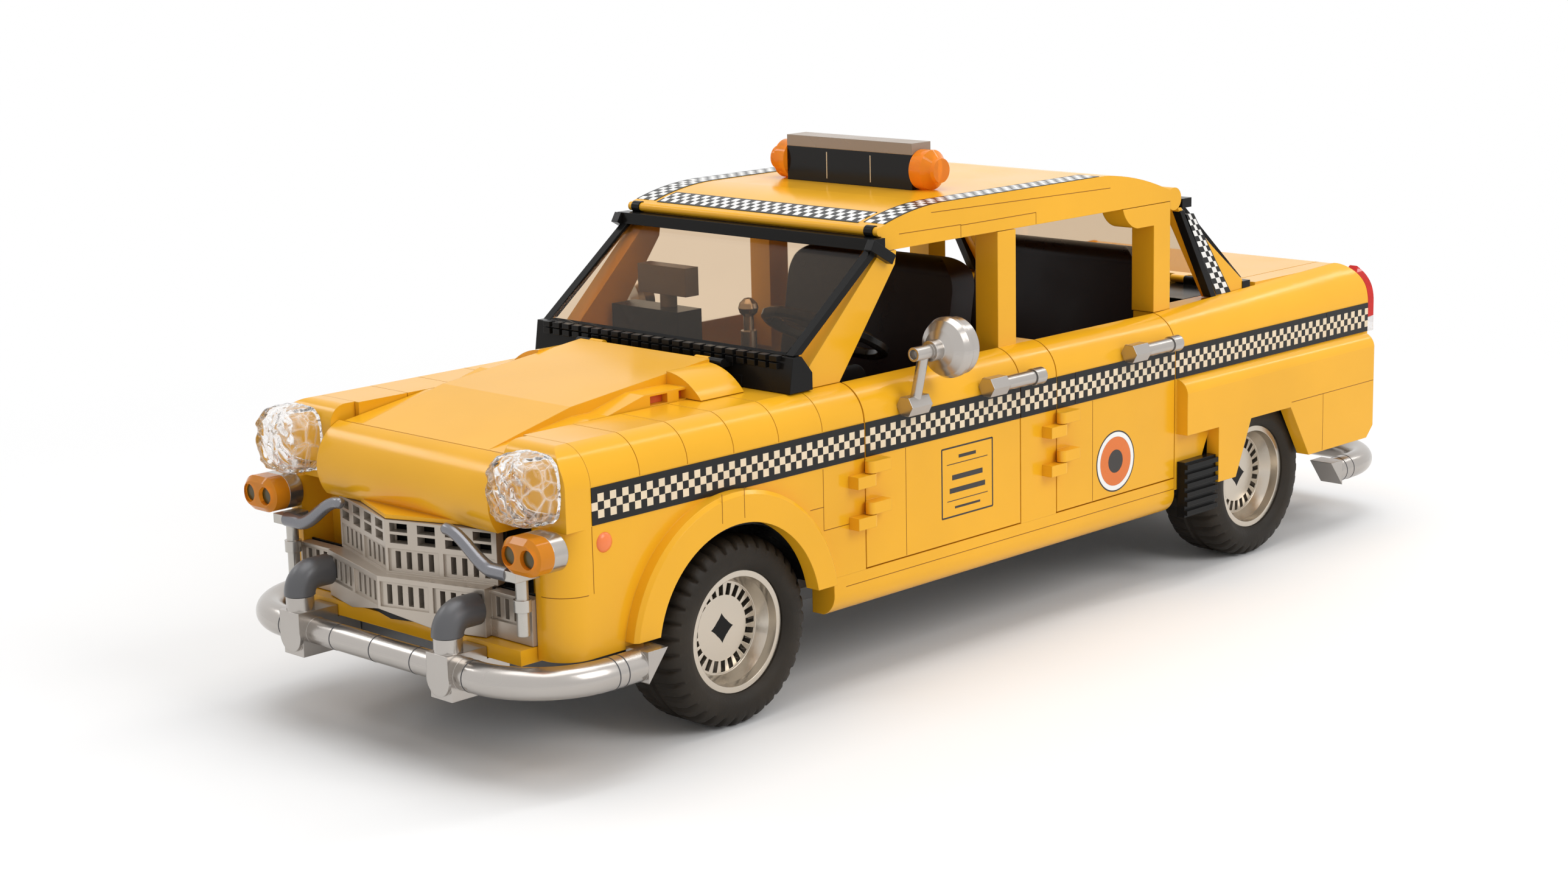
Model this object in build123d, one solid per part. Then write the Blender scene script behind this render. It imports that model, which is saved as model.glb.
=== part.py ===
from build123d import *
import os
from math import atan2, cos, radians, sin

# A toy taxi cab built of interlocking plastic bricks, in millimetres.
# +X points forward, +Y to the cab's left, +Z up; the origin is on the ground under the middle.
# Stations along the cab are counted backwards from the front end of the checkered side stripe.

# The brick system that every piece is built on
STUD = 8.0
PLATE = 3.2
BRICK = 3 * PLATE
SEAM = 0.2                   # gap between neighbouring bricks
DOOR_GAP = 0.4               # gap round doors and lids

# Lengths of the body's side sections, front to back
FENDER_LENGTH = 12 * STUD
FRONT_DOOR_LENGTH = 8 * STUD
B_PANEL_LENGTH = 2 * STUD
REAR_DOOR_LENGTH = 7 * STUD
QUARTER_LENGTH = 13 * STUD
FRONT_REACH = 27.5           # front bumper ahead of the stripe
REAR_REACH = 20.0            # rear bumper behind the stripe

# Half widths
BODY_HALF = 7 * STUD         # side of doors and fenders
CABIN_HALF = 6 * STUD        # side of pillars and roof
HOOD_HALF = 4 * STUD
TRUNK_HALF = 5 * STUD
ARCH_PROUD = 4.0             # wheel arches and skirts stand out from the side
DOOR_THICK = 5.0

# Wheels and axles
TYRE_R = 24.8
TYRE_WIDTH = 20.0
TYRE_FACE = 55.0             # outer face of the tyres from the middle
RIM_R = 0.641 * TYRE_R
RIM_TEETH = 24
AXLE_R = 2.4
AXLE_ARM = 1.8               # width of one arm of the cross-shaped axle
AXLE_PLAY = 0.2
FRONT_AXLE = 50.5            # stations
REAR_AXLE = 276.5

# Heights, stacked from the axles upwards
BEAM_BELOW_AXLE = 5.2
SILL_HEIGHT = 10.4
DOOR_FLAT = 30.0             # door and fender side below the stripe
STRIPE_HEIGHT = BRICK
SHOULDER_HEIGHT = BRICK
WINDOW_HEIGHT = 32.5
ROOF_HEIGHT = 10.5
SIGN_HEIGHT = 9.8
SIGN_CAP = 3.2

AXLE_Z = TYRE_R
BEAM_Z = AXLE_Z - BEAM_BELOW_AXLE
FLOOR_Z = BEAM_Z + BRICK
DECK_Z = FLOOR_Z + PLATE             # top of the floor, foot of the doors
SILL_Z = DECK_Z - SILL_HEIGHT
STRIPE_Z = DECK_Z + DOOR_FLAT
SHOULDER_Z = STRIPE_Z + STRIPE_HEIGHT
BELT_Z = SHOULDER_Z + SHOULDER_HEIGHT
RAIL_Z = BELT_Z + WINDOW_HEIGHT
ROOF_Z = RAIL_Z + ROOF_HEIGHT

DOOR1 = FENDER_LENGTH
B_PANEL = DOOR1 + FRONT_DOOR_LENGTH
DOOR2 = B_PANEL + B_PANEL_LENGTH
QUARTER = DOOR2 + REAR_DOOR_LENGTH
TAIL = QUARTER + QUARTER_LENGTH
STRIPE_X = (TAIL + REAR_REACH - FRONT_REACH) / 2


def at(station):
    """X of a station counted backwards from the front end of the side stripe."""
    return STRIPE_X - station


def slab(s0, s1, y0, y1, z0, z1):
    """Box between two stations, two widths and two heights."""
    box = Box(abs(s1 - s0), abs(y1 - y0), abs(z1 - z0))
    return Pos(at((s0 + s1) / 2), (y0 + y1) / 2, (z0 + z1) / 2) * box


def outline(points, place):
    """Face with the given corners; a corner of four numbers ends an arc through its first pair."""
    edges = []
    here = points[0]
    for corner in points[1:] + (points[0],):
        end = corner[-2:]
        if len(corner) == 4:
            edges.append(ThreePointArc(place(*here), place(*corner[:2]), place(*end)))
        elif end != here:
            edges.append(Line(place(*here), place(*end)))
        here = end
    return make_face(edges)


def side_face(*points):
    """Face in the side view, from (station, height) corners."""
    return outline(points, lambda station, z: (at(station), z))


def section(*points):
    """Face in the cross-section, from (y, height) corners."""
    return outline(points, lambda y, z: (y, z))


def along_y(face, y0, y1):
    """Side-view face carried across the cab from y0 to y1."""
    return extrude(Plane.XZ.offset(-min(y0, y1)) * face, abs(y1 - y0), dir=(0, 1, 0))


def along_x(face, s0, s1):
    """Cross-section face (y, z) carried from one station to another."""
    return extrude(Plane.YZ.offset(at(max(s0, s1))) * face, abs(s1 - s0), dir=(1, 0, 0))


def rod_y(station, z, radius, y0, y1):
    """Cylinder across the cab."""
    middle = Pos(at(station), (y0 + y1) / 2, z)
    return middle * Rot(X=90) * Cylinder(radius, abs(y1 - y0))


def rod_x(s0, s1, y, z, radius):
    """Cylinder along the cab."""
    return Pos(at((s0 + s1) / 2), y, z) * Rot(Y=90) * Cylinder(radius, abs(s1 - s0))


def rod_z(station, y, radius, z0, z1):
    """Upright cylinder."""
    return Pos(at(station), y, (z0 + z1) / 2) * Cylinder(radius, z1 - z0)


def rod(start, end, radius):
    """Cylinder between two (station, y, z) points."""
    first = Vector(at(start[0]), start[1], start[2])
    last = Vector(at(end[0]), end[1], end[2])
    plane = Plane(origin=first, z_dir=last - first)
    return extrude(plane * Circle(radius), (last - first).length)


def other_side(shape):
    """The same piece on the cab's right."""
    return mirror(shape, about=Plane.XZ)


nodes = {}


def add(name, *shapes):
    """Put all the solids of the shapes in one named node."""
    nodes.setdefault(name, []).extend(solid for shape in shapes for solid in shape.solids())


def add_pair(name, *shapes):
    """One node on the left and its mirror image on the right."""
    add(name + "_left", *shapes)
    add(name + "_right", *[other_side(shape) for shape in shapes])


def add_both(name, *shapes):
    """Both sides' pieces in one node."""
    add(name, *shapes)
    add(name, *[other_side(shape) for shape in shapes])


# Chassis: two beams that carry the axles and take a stand's pins, a front cross beam, and the floor
BEAM_INNER = 3 * STUD
BEAM_OUTER = BEAM_INNER + STUD
TUB_WALL = 1.6
TUB_R = TYRE_R + 3.0
TYRE_INNER = TYRE_FACE - TYRE_WIDTH
TUB_INNER = TYRE_INNER - 1.4          # inner wall of the wheel tubs
FLOOR_HALF = CABIN_HALF - SEAM
BEAM_FRONT = -STUD
BEAM_BACK = TAIL + 2.0
PIN_BORE_R = 2.4
PIN_BORE_DEPTH = STUD
PIN_STATION = 160.0
AXLE_BORE_R = AXLE_R + AXLE_PLAY
FLOOR_FRONT = 9.0

chassis = slab(FLOOR_FRONT, TAIL - STUD, -FLOOR_HALF, FLOOR_HALF, FLOOR_Z, DECK_Z)
for axle in (FRONT_AXLE, REAR_AXLE):
    for side in (-1, 1):
        chassis -= slab(axle - TUB_R, axle + TUB_R, side * TUB_INNER, side * BODY_HALF, FLOOR_Z, DECK_Z)
for side in (-1, 1):
    chassis += slab(BEAM_FRONT, BEAM_BACK, side * BEAM_INNER, side * BEAM_OUTER, BEAM_Z, FLOOR_Z)
chassis += slab(BEAM_FRONT, BEAM_FRONT + STUD, -BEAM_INNER, BEAM_INNER, BEAM_Z, FLOOR_Z)
for side in (-1, 1):
    pin_y = side * (BEAM_INNER + BEAM_OUTER) / 2
    chassis -= rod_z(PIN_STATION, pin_y, PIN_BORE_R, BEAM_Z, BEAM_Z + PIN_BORE_DEPTH)
for axle in (FRONT_AXLE, REAR_AXLE):
    chassis -= rod_y(axle, AXLE_Z, AXLE_BORE_R, -BODY_HALF, BODY_HALF)
add("chassis", chassis)

# Wheel tubs: half-round covers over the wheels, standing on the floor's edge
TUB_OUTER = TYRE_FACE - 1.0
for axle in (FRONT_AXLE, REAR_AXLE):
    tub = rod_y(axle, AXLE_Z, TUB_R + TUB_WALL, TUB_INNER - TUB_WALL, TUB_OUTER)
    tub -= rod_y(axle, AXLE_Z, TUB_R, TUB_INNER, TUB_OUTER)
    tub -= slab(axle - 2 * TUB_R, axle + 2 * TUB_R, 0, BODY_HALF, AXLE_Z - 2 * TUB_R, DECK_Z)
    add_both("wheel_tubs", tub)

# Front fenders: side wall, round front corner, headlamp nacelle, proud wheel arch,
# and a row of curved bricks on top
WALL_INNER = BODY_HALF - 4.0
WELL_R = 33.0
FENDER_FOOT = DECK_Z - 2.4
ARCH_STATION = 45.5
ARCH_Z = AXLE_Z + 1.7
ARCH_R = 28.5
ARCH_BAND = 8.0
ARCH_INNER = TYRE_FACE + 0.6
ARCH_FACE = BODY_HALF + ARCH_PROUD
ARCH_FOOT = DECK_Z - 0.4
NACELLE_FRONT = -STUD
NACELLE_INNER = 34.0
NACELLE_FOOT = STRIPE_Z - 0.4
BROW_R = 5.0
CORNER_FRONT = NACELLE_FRONT - 1.7
CORNER_INNER = BODY_HALF - 10.0
CORNER_R = STUD
SHOULDER_BRICK = 2 * STUD
BACK_CORNER = 0.29           # of a radius: how far a quarter arc's middle stays off its corner


def shoulder_arc(top):
    """Arc of a shoulder: upright where it leaves the side, ending at the cabin's half width and a height."""
    run = BODY_HALF - CABIN_HALF
    rise = top - SHOULDER_Z
    radius = (run**2 + rise**2) / (2 * run)
    half_turn = atan2(rise, radius - run) / 2
    middle = (BODY_HALF - radius + radius * cos(half_turn), SHOULDER_Z + radius * sin(half_turn))
    return middle + (CABIN_HALF, top)


def side_panel(foot, wall, inner):
    """Cross-section of a side wall with its curved shoulder, which reaches in to a half width."""
    return section(
        (wall, foot),
        (BODY_HALF, foot),
        (BODY_HALF, SHOULDER_Z),
        shoulder_arc(BELT_Z),
        (inner, BELT_Z),
        (inner, SHOULDER_Z),
        (wall, SHOULDER_Z),
    )


def shoulder(inner):
    """Cross-section of a curved shoulder brick that reaches in to a given half width."""
    return section((inner, SHOULDER_Z), (BODY_HALF, SHOULDER_Z), shoulder_arc(BELT_Z), (inner, BELT_Z))


def shoulder_row(start, end, inner):
    """Curved shoulder bricks from one station to another, a seam apart."""
    bricks = []
    station = start
    while station < end - SEAM:
        stop = min(station + SHOULDER_BRICK, end)
        bricks.append(along_x(shoulder(inner), station + SEAM / 2, stop - SEAM / 2))
        station = stop
    return bricks


fender_end = FENDER_LENGTH - DOOR_GAP / 2
fender = slab(0, fender_end, WALL_INNER, BODY_HALF, FENDER_FOOT, SHOULDER_Z)
fender += slab(0, FLOOR_FRONT - SEAM, NACELLE_INNER, BODY_HALF, FENDER_FOOT, SHOULDER_Z)
post = slab(CORNER_FRONT, 0, CORNER_INNER, BODY_HALF, FENDER_FOOT, NACELLE_FOOT)
fender += fillet(post.edges().filter_by(Axis.Z).sort_by(Axis.X)[-2:].sort_by(Axis.Y)[-1], CORNER_R)
nacelle = along_x(
    section(
        (NACELLE_INNER, NACELLE_FOOT),
        (BODY_HALF, NACELLE_FOOT),
        (BODY_HALF, SHOULDER_Z),
        shoulder_arc(BELT_Z),
        (NACELLE_INNER, BELT_Z),
    ),
    NACELLE_FRONT,
    0,
)
brow_edge = NACELLE_FRONT + BACK_CORNER * BROW_R
nacelle &= along_y(
    side_face(
        (NACELLE_FRONT, NACELLE_FOOT),
        (NACELLE_FRONT, BELT_Z - BROW_R),
        (brow_edge, BELT_Z - BACK_CORNER * BROW_R, NACELLE_FRONT + BROW_R, BELT_Z),
        (0, BELT_Z),
        (0, NACELLE_FOOT),
    ),
    NACELLE_INNER,
    BODY_HALF,
)
fender += nacelle
fender -= rod_y(FRONT_AXLE - 2.5, ARCH_Z, WELL_R, WALL_INNER - 1, BODY_HALF + 1)
fender -= slab(FRONT_AXLE, FENDER_LENGTH, WALL_INNER, BODY_HALF, FENDER_FOOT, DECK_Z)
arch = rod_y(ARCH_STATION, ARCH_Z, ARCH_R + ARCH_BAND, ARCH_INNER, ARCH_FACE)
arch = chamfer(arch.edges().group_by(Axis.Y)[-1], ARCH_PROUD / 4)
arch -= rod_y(ARCH_STATION, ARCH_Z, ARCH_R, ARCH_INNER, ARCH_FACE)
arch -= slab(
    ARCH_STATION - 2 * ARCH_R,
    ARCH_STATION + 2 * ARCH_R,
    ARCH_INNER,
    ARCH_FACE,
    ARCH_Z - 2 * ARCH_R,
    ARCH_FOOT,
)
fender += arch
add_pair("front_fender", fender, *shoulder_row(0, fender_end, HOOD_HALF + DOOR_GAP))

# Nose: a bulging panel between the headlamps, and the strip under the grille, on the chassis beams
HOOD_FRONT = -5.0
HOOD_FRONT_Z = BELT_Z - 3.9
NOSE_FOOT_Z = STRIPE_Z - 3.1
NOSE_OUT = 10.4
NOSE_BULGE = 13.0
NOSE_BACK_STEP = PLATE + 1.0
SHELF = 1.0                  # thin pointed shelf under the nose, over the grille's V
SHELF_APEX = -18.0
SHELF_HALF = 20.0
APRON_FRONT = -15.0
APRON_HEIGHT = 3.8
nose_half = NACELLE_INNER - SEAM
nose_edge = HOOD_FRONT - DOOR_GAP
nose = along_y(
    side_face(
        (0, NOSE_FOOT_Z),
        (-NOSE_OUT, NOSE_FOOT_Z),
        (-NOSE_BULGE, (NOSE_FOOT_Z + HOOD_FRONT_Z) / 2, nose_edge, HOOD_FRONT_Z),
        (nose_edge, HOOD_FRONT_Z - NOSE_BACK_STEP),
        (0, HOOD_FRONT_Z - NOSE_BACK_STEP),
    ),
    -nose_half,
    nose_half,
)
shelf_outline = (
    (SHELF - NOSE_OUT, -SHELF_HALF),
    (-NOSE_OUT, -SHELF_HALF),
    (SHELF_APEX, 0),
    (-NOSE_OUT, SHELF_HALF),
    (SHELF - NOSE_OUT, SHELF_HALF),
)
shelf = outline(shelf_outline, lambda station, y: (at(station), y))
nose += Pos(0, 0, NOSE_FOOT_Z) * extrude(shelf, SHELF, dir=(0, 0, 1))
apron_foot = FLOOR_Z + SEAM
apron_half = CORNER_INNER - SEAM
apron = slab(APRON_FRONT, -SEAM, -apron_half, apron_half, apron_foot, apron_foot + APRON_HEIGHT)
add("nose_panel", nose, apron)

# Grille: rows of slotted tiles that meet in a shallow V, apex forward, with a ledge between the rows
GRILLE_THICK = 3.2
GRILLE_HALF = NACELLE_INNER - 3.0
LOWER_APEX = -21.5
LOWER_END = -13.1
UPPER_APEX = SHELF_APEX - 0.4
UPPER_END = -8.7
BASE_ROW = 3.6
BASE_RUN = 17.0              # the base's underside climbs to nothing at the apex over this width
LOWER_ROW = 7.8
LEDGE = 0.6
UPPER_ROW = 7.2
ROW_TILES = 2
TILE_SLOTS = 4
TILE_RIM = 0.7
RIM_RAISED = 0.6
SLOT_WIDTH = 1.5
BAND_WINDOWS = 4
WINDOW_SHARE = 0.64          # of the windows' pitch that is open
WINDOW_BAR = 0.7             # bars over, between and under the two rows of windows
SIDE_TILE_FRONT = -11.0
grille_foot = apron_foot + APRON_HEIGHT + SEAM
lower_foot = grille_foot + BASE_ROW
ledge_foot = lower_foot + LOWER_ROW
upper_foot = ledge_foot + LEDGE
band_foot = upper_foot + UPPER_ROW
grille_top = NOSE_FOOT_Z - SEAM


def row_plane(apex, end, foot):
    """Front plane of one half of a row, running outwards and up from the V's apex, and its length."""
    run = Vector(at(end) - at(apex), GRILLE_HALF, 0)
    return Plane(origin=(at(apex), 0, foot), x_dir=run, z_dir=run.cross(Vector(0, 0, 1))), run.length


def pane(plane, start, length, foot, height, depth):
    """Plate or cutter on a row's front plane: start along the row, length, foot, height and depth."""
    return extrude(plane * Pos(start + length / 2, foot + height / 2) * Rectangle(length, height), -depth)


def tiled(plane, length, height, tiles):
    """Half a row of tiles with raised rims and upright slots."""
    row = pane(plane, 0, length, 0, height, GRILLE_THICK)
    tile = length / tiles
    for index in range(tiles):
        start = index * tile
        row -= pane(plane, start + TILE_RIM, tile - 2 * TILE_RIM, TILE_RIM, height - 2 * TILE_RIM, RIM_RAISED)
        for slot in range(TILE_SLOTS):
            middle = start + tile * (slot + 1) / (TILE_SLOTS + 1)
            row -= pane(
                plane, middle - SLOT_WIDTH / 2, SLOT_WIDTH, 2 * TILE_RIM, height - 4 * TILE_RIM, GRILLE_THICK
            )
    return row


base_plane, lower_length = row_plane(LOWER_APEX, LOWER_END, grille_foot)
lower_plane, lower_length = row_plane(LOWER_APEX, LOWER_END, lower_foot)
upper_plane, upper_length = row_plane(UPPER_APEX, UPPER_END, upper_foot)
band_plane, upper_length = row_plane(UPPER_APEX, UPPER_END, band_foot)
half = pane(base_plane, 0, lower_length, 0, BASE_ROW, GRILLE_THICK)
base_cut = section((-1.0, grille_foot), (-1.0, lower_foot), (0, lower_foot), (BASE_RUN, grille_foot))
half -= along_x(base_cut, LOWER_APEX - 1.0, LOWER_END)
half += tiled(lower_plane, lower_length, LOWER_ROW, ROW_TILES)
half += pane(lower_plane, 0, lower_length, LOWER_ROW, LEDGE, LOWER_END - LOWER_APEX)
half += tiled(upper_plane, upper_length, UPPER_ROW, ROW_TILES)
band_height = grille_top - band_foot
band = pane(band_plane, 0, upper_length, 0, band_height, GRILLE_THICK)
window_pitch = upper_length / BAND_WINDOWS
window_height = (band_height - 3 * WINDOW_BAR) / 2
for index in range(BAND_WINDOWS):
    start = (index + (1 - WINDOW_SHARE) / 2) * window_pitch
    for foot in (WINDOW_BAR, 2 * WINDOW_BAR + window_height):
        band -= pane(band_plane, start, WINDOW_SHARE * window_pitch, foot, window_height, GRILLE_THICK)
half += band
side_start = GRILLE_HALF - 1.5
side_plane = Plane(origin=(at(SIDE_TILE_FRONT), side_start, lower_foot), x_dir=(0, 1, 0), z_dir=(1, 0, 0))
side_length = CORNER_INNER - SEAM - side_start
half += tiled(side_plane, side_length, LOWER_ROW, 1)
half += pane(side_plane, 0, side_length, -BASE_ROW, BASE_ROW, GRILLE_THICK)
add("grille", half + other_side(half))

# Headlamp lenses: rounded squares that stand out from the nacelles
LENS_Y = 46.0
LENS_RISE = 9.8
LENS_Z = STRIPE_Z + LENS_RISE
LENS_SIZE = 17.6
LENS_DEPTH = 10.6
LENS_ROUND = 5.0
lens_plane = Plane(origin=(at(NACELLE_FRONT - SEAM), LENS_Y, LENS_Z), x_dir=(0, 1, 0), z_dir=(1, 0, 0))
lens = extrude(lens_plane * RectangleRounded(LENS_SIZE, LENS_SIZE, LENS_ROUND), LENS_DEPTH)
lens = chamfer(lens.faces().sort_by(Axis.X)[-1].edges(), LENS_DEPTH / 4)
add_both("headlamp_lenses", lens)

# Indicators: pill-shaped amber lens with two round hollows, and a bright housing behind it
LAMP_Y = 51.6
LAMP_Z = STRIPE_Z - 4.4
LAMP_WIDTH = 14.0
LAMP_HEIGHT = 9.2
HOUSING_DEPTH = 4.2
AMBER_DEPTH = 5.6
HOLLOW_R = 2.4
HOLLOW_DEPTH = 1.2
HOLLOW_APART = 3.4
housing_back = CORNER_FRONT - SEAM
amber_back = housing_back - HOUSING_DEPTH
amber_front = amber_back - AMBER_DEPTH
lamp_plane = Plane(origin=(at(housing_back), LAMP_Y, LAMP_Z), x_dir=(0, 1, 0), z_dir=(1, 0, 0))
pill = SlotOverall(LAMP_WIDTH, LAMP_HEIGHT)
add_both("indicator_housings", extrude(lamp_plane * pill, HOUSING_DEPTH))
amber = extrude(lamp_plane.offset(HOUSING_DEPTH) * pill, AMBER_DEPTH)
amber = chamfer(amber.faces().sort_by(Axis.X)[-1].edges(), AMBER_DEPTH / 4)
for side in (-1, 1):
    amber -= rod_x(amber_front, amber_front + HOLLOW_DEPTH, LAMP_Y + side * HOLLOW_APART, LAMP_Z, HOLLOW_R)
add_both("indicator_lenses", amber)

# Bars beside the grille: an upright bar with a collar, and a bent horn, on a block in front of the corner
BAR_Y = CORNER_INNER - 0.5
BAR_R = 1.6
BAR_LENGTH = 14.0
COLLAR_R = 2.2
COLLAR_LENGTH = 3.0
COLLAR_DROP = 5.0
BLOCK_DEPTH = 5.0
BLOCK_HALF = 2.5
BLOCK_HEIGHT = 2.5
HORN_STATION = -16.0
HORN_R = 1.6
# Corners of the horn from its tip: inwards from the bar, up from the block's foot
HORN_CORNERS = ((26.0, 9.2), (21.5, 8.4), (14.0, 2.6), (8.0, 1.2), (BLOCK_HALF - 0.5, 1.2))
block_top = LAMP_Z - LAMP_HEIGHT / 2 - SEAM
block_foot = block_top - BLOCK_HEIGHT
bar_station = housing_back - BLOCK_DEPTH + BAR_R - SEAM
bars = slab(
    housing_back, housing_back - BLOCK_DEPTH, BAR_Y - BLOCK_HALF, BAR_Y + BLOCK_HALF, block_foot, block_top
)
bars += rod_z(bar_station, BAR_Y, BAR_R, block_foot - BAR_LENGTH, block_foot)
collar_top = block_foot - COLLAR_DROP
bars += rod_z(bar_station, BAR_Y, COLLAR_R, collar_top - COLLAR_LENGTH, collar_top)
bars += slab(
    housing_back - BLOCK_DEPTH,
    HORN_STATION - HORN_R,
    BAR_Y - BLOCK_HALF,
    BAR_Y + BLOCK_HALF,
    block_foot,
    block_top,
)
horn = Polyline(*[(at(HORN_STATION), BAR_Y - inwards, block_foot + up) for inwards, up in HORN_CORNERS])
horn_ring = Plane(origin=horn @ 0, z_dir=horn % 0) * Circle(HORN_R)
bars += sweep(horn_ring, path=horn, transition=Transition.RIGHT)
add_both("grille_bars", bars)

# Bumpers: bright tubes bent round the corners, with wedge tips, on blocks and arms from the chassis beams
TUBE_R = 4.0
TUBE_CORNER = 22.0
TIP_LENGTH = 6.5


def bumper_tube(front, z, half_width, tip):
    """Tube across one end of the cab, bent back along both sides to the tips' station."""
    path = FilletPolyline(
        (at(tip), half_width, z),
        (at(front), half_width, z),
        (at(front), -half_width, z),
        (at(tip), -half_width, z),
        radius=TUBE_CORNER,
    )
    ring = Plane(origin=path @ 0, z_dir=path % 0) * Circle(TUBE_R)
    return sweep(ring, path=path)


def wedge(tip, z, half_width, toward):
    """Wedge on a tube's tip, flat on top and sloping under, pointing along the cab."""
    face = side_face((tip, z - TUBE_R), (tip, z + TUBE_R), (tip + toward * TIP_LENGTH, z + TUBE_R))
    return along_y(face, half_width - TUBE_R, half_width + TUBE_R)


FRONT_TUBE = -(FRONT_REACH - TUBE_R - 1.5)
FRONT_TUBE_Z = FLOOR_Z - 2.4
MIDDLE_TUBE_R = 3.4          # the tube is thinner between the guards
FRONT_TUBE_HALF = ARCH_FACE
FRONT_TUBE_TIP = 9.5
GUARD_Y = (BEAM_INNER + BEAM_OUTER) / 2 + 1.5
GUARD_WIDTH = STUD
GUARD_TOP = FRONT_TUBE_Z + TUBE_R + 1.4
GUARD_FOOT = BEAM_Z + 1.0
SHIELD_PROUD = 1.0
SHIELD_FLAT = 5.0            # straight sides of the shield under the guard's top
SLEEVE_LENGTH = 3.6
ELBOW_R = 4.0
ELBOW_CORNER = 0.65 * ELBOW_R
ELBOW_RUN = 9.0              # from the sleeve's axis back to the grille
SLEEVE_R = 0.9 * ELBOW_R
grille_slope = (LOWER_END - LOWER_APEX) / GRILLE_HALF
elbow_back = LOWER_APEX + grille_slope * (GUARD_Y - GUARD_WIDTH / 2) - SEAM
SLEEVE_STATION = elbow_back - ELBOW_RUN
front_bumper = bumper_tube(FRONT_TUBE, FRONT_TUBE_Z, FRONT_TUBE_HALF, FRONT_TUBE_TIP)
front_bumper -= slab(
    FRONT_TUBE - TUBE_R,
    FRONT_TUBE + TUBE_R,
    -GUARD_Y,
    GUARD_Y,
    FRONT_TUBE_Z - TUBE_R,
    FRONT_TUBE_Z + TUBE_R,
)
front_bumper += rod_y(FRONT_TUBE, FRONT_TUBE_Z, MIDDLE_TUBE_R, -GUARD_Y, GUARD_Y)
for side in (-1, 1):
    inside = side * (GUARD_Y - GUARD_WIDTH / 2)
    outside = side * (GUARD_Y + GUARD_WIDTH / 2)
    guard_front = -FRONT_REACH + SHIELD_PROUD
    front_bumper += slab(guard_front, APRON_FRONT - SEAM, inside, outside, GUARD_FOOT, GUARD_TOP)
    front_bumper += slab(APRON_FRONT - SEAM, BEAM_FRONT - SEAM, inside, outside, GUARD_FOOT, FLOOR_Z)
    front_bumper += along_x(
        section(
            (inside, GUARD_TOP),
            (outside, GUARD_TOP),
            (outside, GUARD_TOP - SHIELD_FLAT),
            (side * GUARD_Y, GUARD_FOOT + SHIELD_PROUD, inside, GUARD_TOP - SHIELD_FLAT),
        ),
        -FRONT_REACH,
        -FRONT_REACH + SHIELD_PROUD,
    )
    front_bumper += rod_z(SLEEVE_STATION, side * GUARD_Y, SLEEVE_R, GUARD_TOP, GUARD_TOP + SLEEVE_LENGTH)
front_tip = wedge(FRONT_TUBE_TIP, FRONT_TUBE_Z, FRONT_TUBE_HALF, 1)
add("front_bumper", front_bumper + front_tip + other_side(front_tip))

# Dark elbows on the bumper's sleeves, bent back to the grille
elbow_foot = GUARD_TOP + SLEEVE_LENGTH + SEAM
elbow_axis = elbow_foot + 1.2 * ELBOW_R
elbow_path = Polyline(
    (at(SLEEVE_STATION), GUARD_Y, elbow_foot),
    (at(SLEEVE_STATION), GUARD_Y, elbow_axis - ELBOW_CORNER),
    (at(SLEEVE_STATION + ELBOW_CORNER), GUARD_Y, elbow_axis),
    (at(elbow_back), GUARD_Y, elbow_axis),
)
elbow_ring = Plane(origin=elbow_path @ 0, z_dir=elbow_path % 0) * Circle(ELBOW_R)
add_both("bumper_guards", sweep(elbow_ring, path=elbow_path, transition=Transition.RIGHT))

REAR_TUBE = TAIL + REAR_REACH - TUBE_R
REAR_TUBE_Z = BEAM_Z - 0.6
REAR_TUBE_HALF = BODY_HALF - 2.0
REAR_TIP_RUN = 16.0          # along the cab's sides to the tube's tips
REAR_TUBE_TIP = TAIL - REAR_TIP_RUN
rear_bumper = bumper_tube(REAR_TUBE, REAR_TUBE_Z, REAR_TUBE_HALF, REAR_TUBE_TIP)
for side in (-1, 1):
    rear_bumper += slab(
        BEAM_BACK + SEAM,
        REAR_TUBE,
        side * (GUARD_Y - GUARD_WIDTH / 2),
        side * (GUARD_Y + GUARD_WIDTH / 2),
        BEAM_Z,
        REAR_TUBE_Z + TUBE_R,
    )
rear_tip = wedge(REAR_TUBE_TIP, REAR_TUBE_Z, REAR_TUBE_HALF, -1)
add("rear_bumper", rear_bumper + rear_tip + other_side(rear_tip))

# Hood: a raised middle between two lower wings, vents and fairings beside it, hinged at the back edge
HOOD_BACK = 70.5
HOOD_SKIN = 3.0
BULGE_HALF = 25.0
BULGE_CREASE = 22.0
BULGE_CREASE_Z = BELT_Z + 2.4
BULGE_RISE = 7.5
BULGE_BACK_Z = BELT_Z + BULGE_RISE
HINGE_R = 1.2
HOOD_AXIS = HOOD_BACK + 2.1
HOOD_AXIS_Z = BULGE_BACK_Z - HINGE_R
HINGE_Y = 18.0
HINGE_LENGTH = 5.0
VENT_FRONT = 28.0
VENT_BACK = 62.0
VENT_HEIGHT = PLATE
VENT_LENGTH = 6.0
VENT_DEPTH = 2.0
VENT_WALL = 0.6
# Front ends of the vent openings
VENTS = (42.5, 52.5)
FAIRING_FRONT = 55.0
FAIRING_HALF = 37.6


def hood_strip(crease_z, back_z, foot):
    """Side view of a strip of the hood: up to the crease, then to the back edge."""
    return side_face(
        (HOOD_FRONT, HOOD_FRONT_Z - HOOD_SKIN),
        (HOOD_FRONT, HOOD_FRONT_Z),
        (BULGE_CREASE, crease_z),
        (HOOD_BACK, back_z),
        (HOOD_BACK, foot),
        (BULGE_CREASE, min(foot, crease_z - HOOD_SKIN)),
    )


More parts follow.
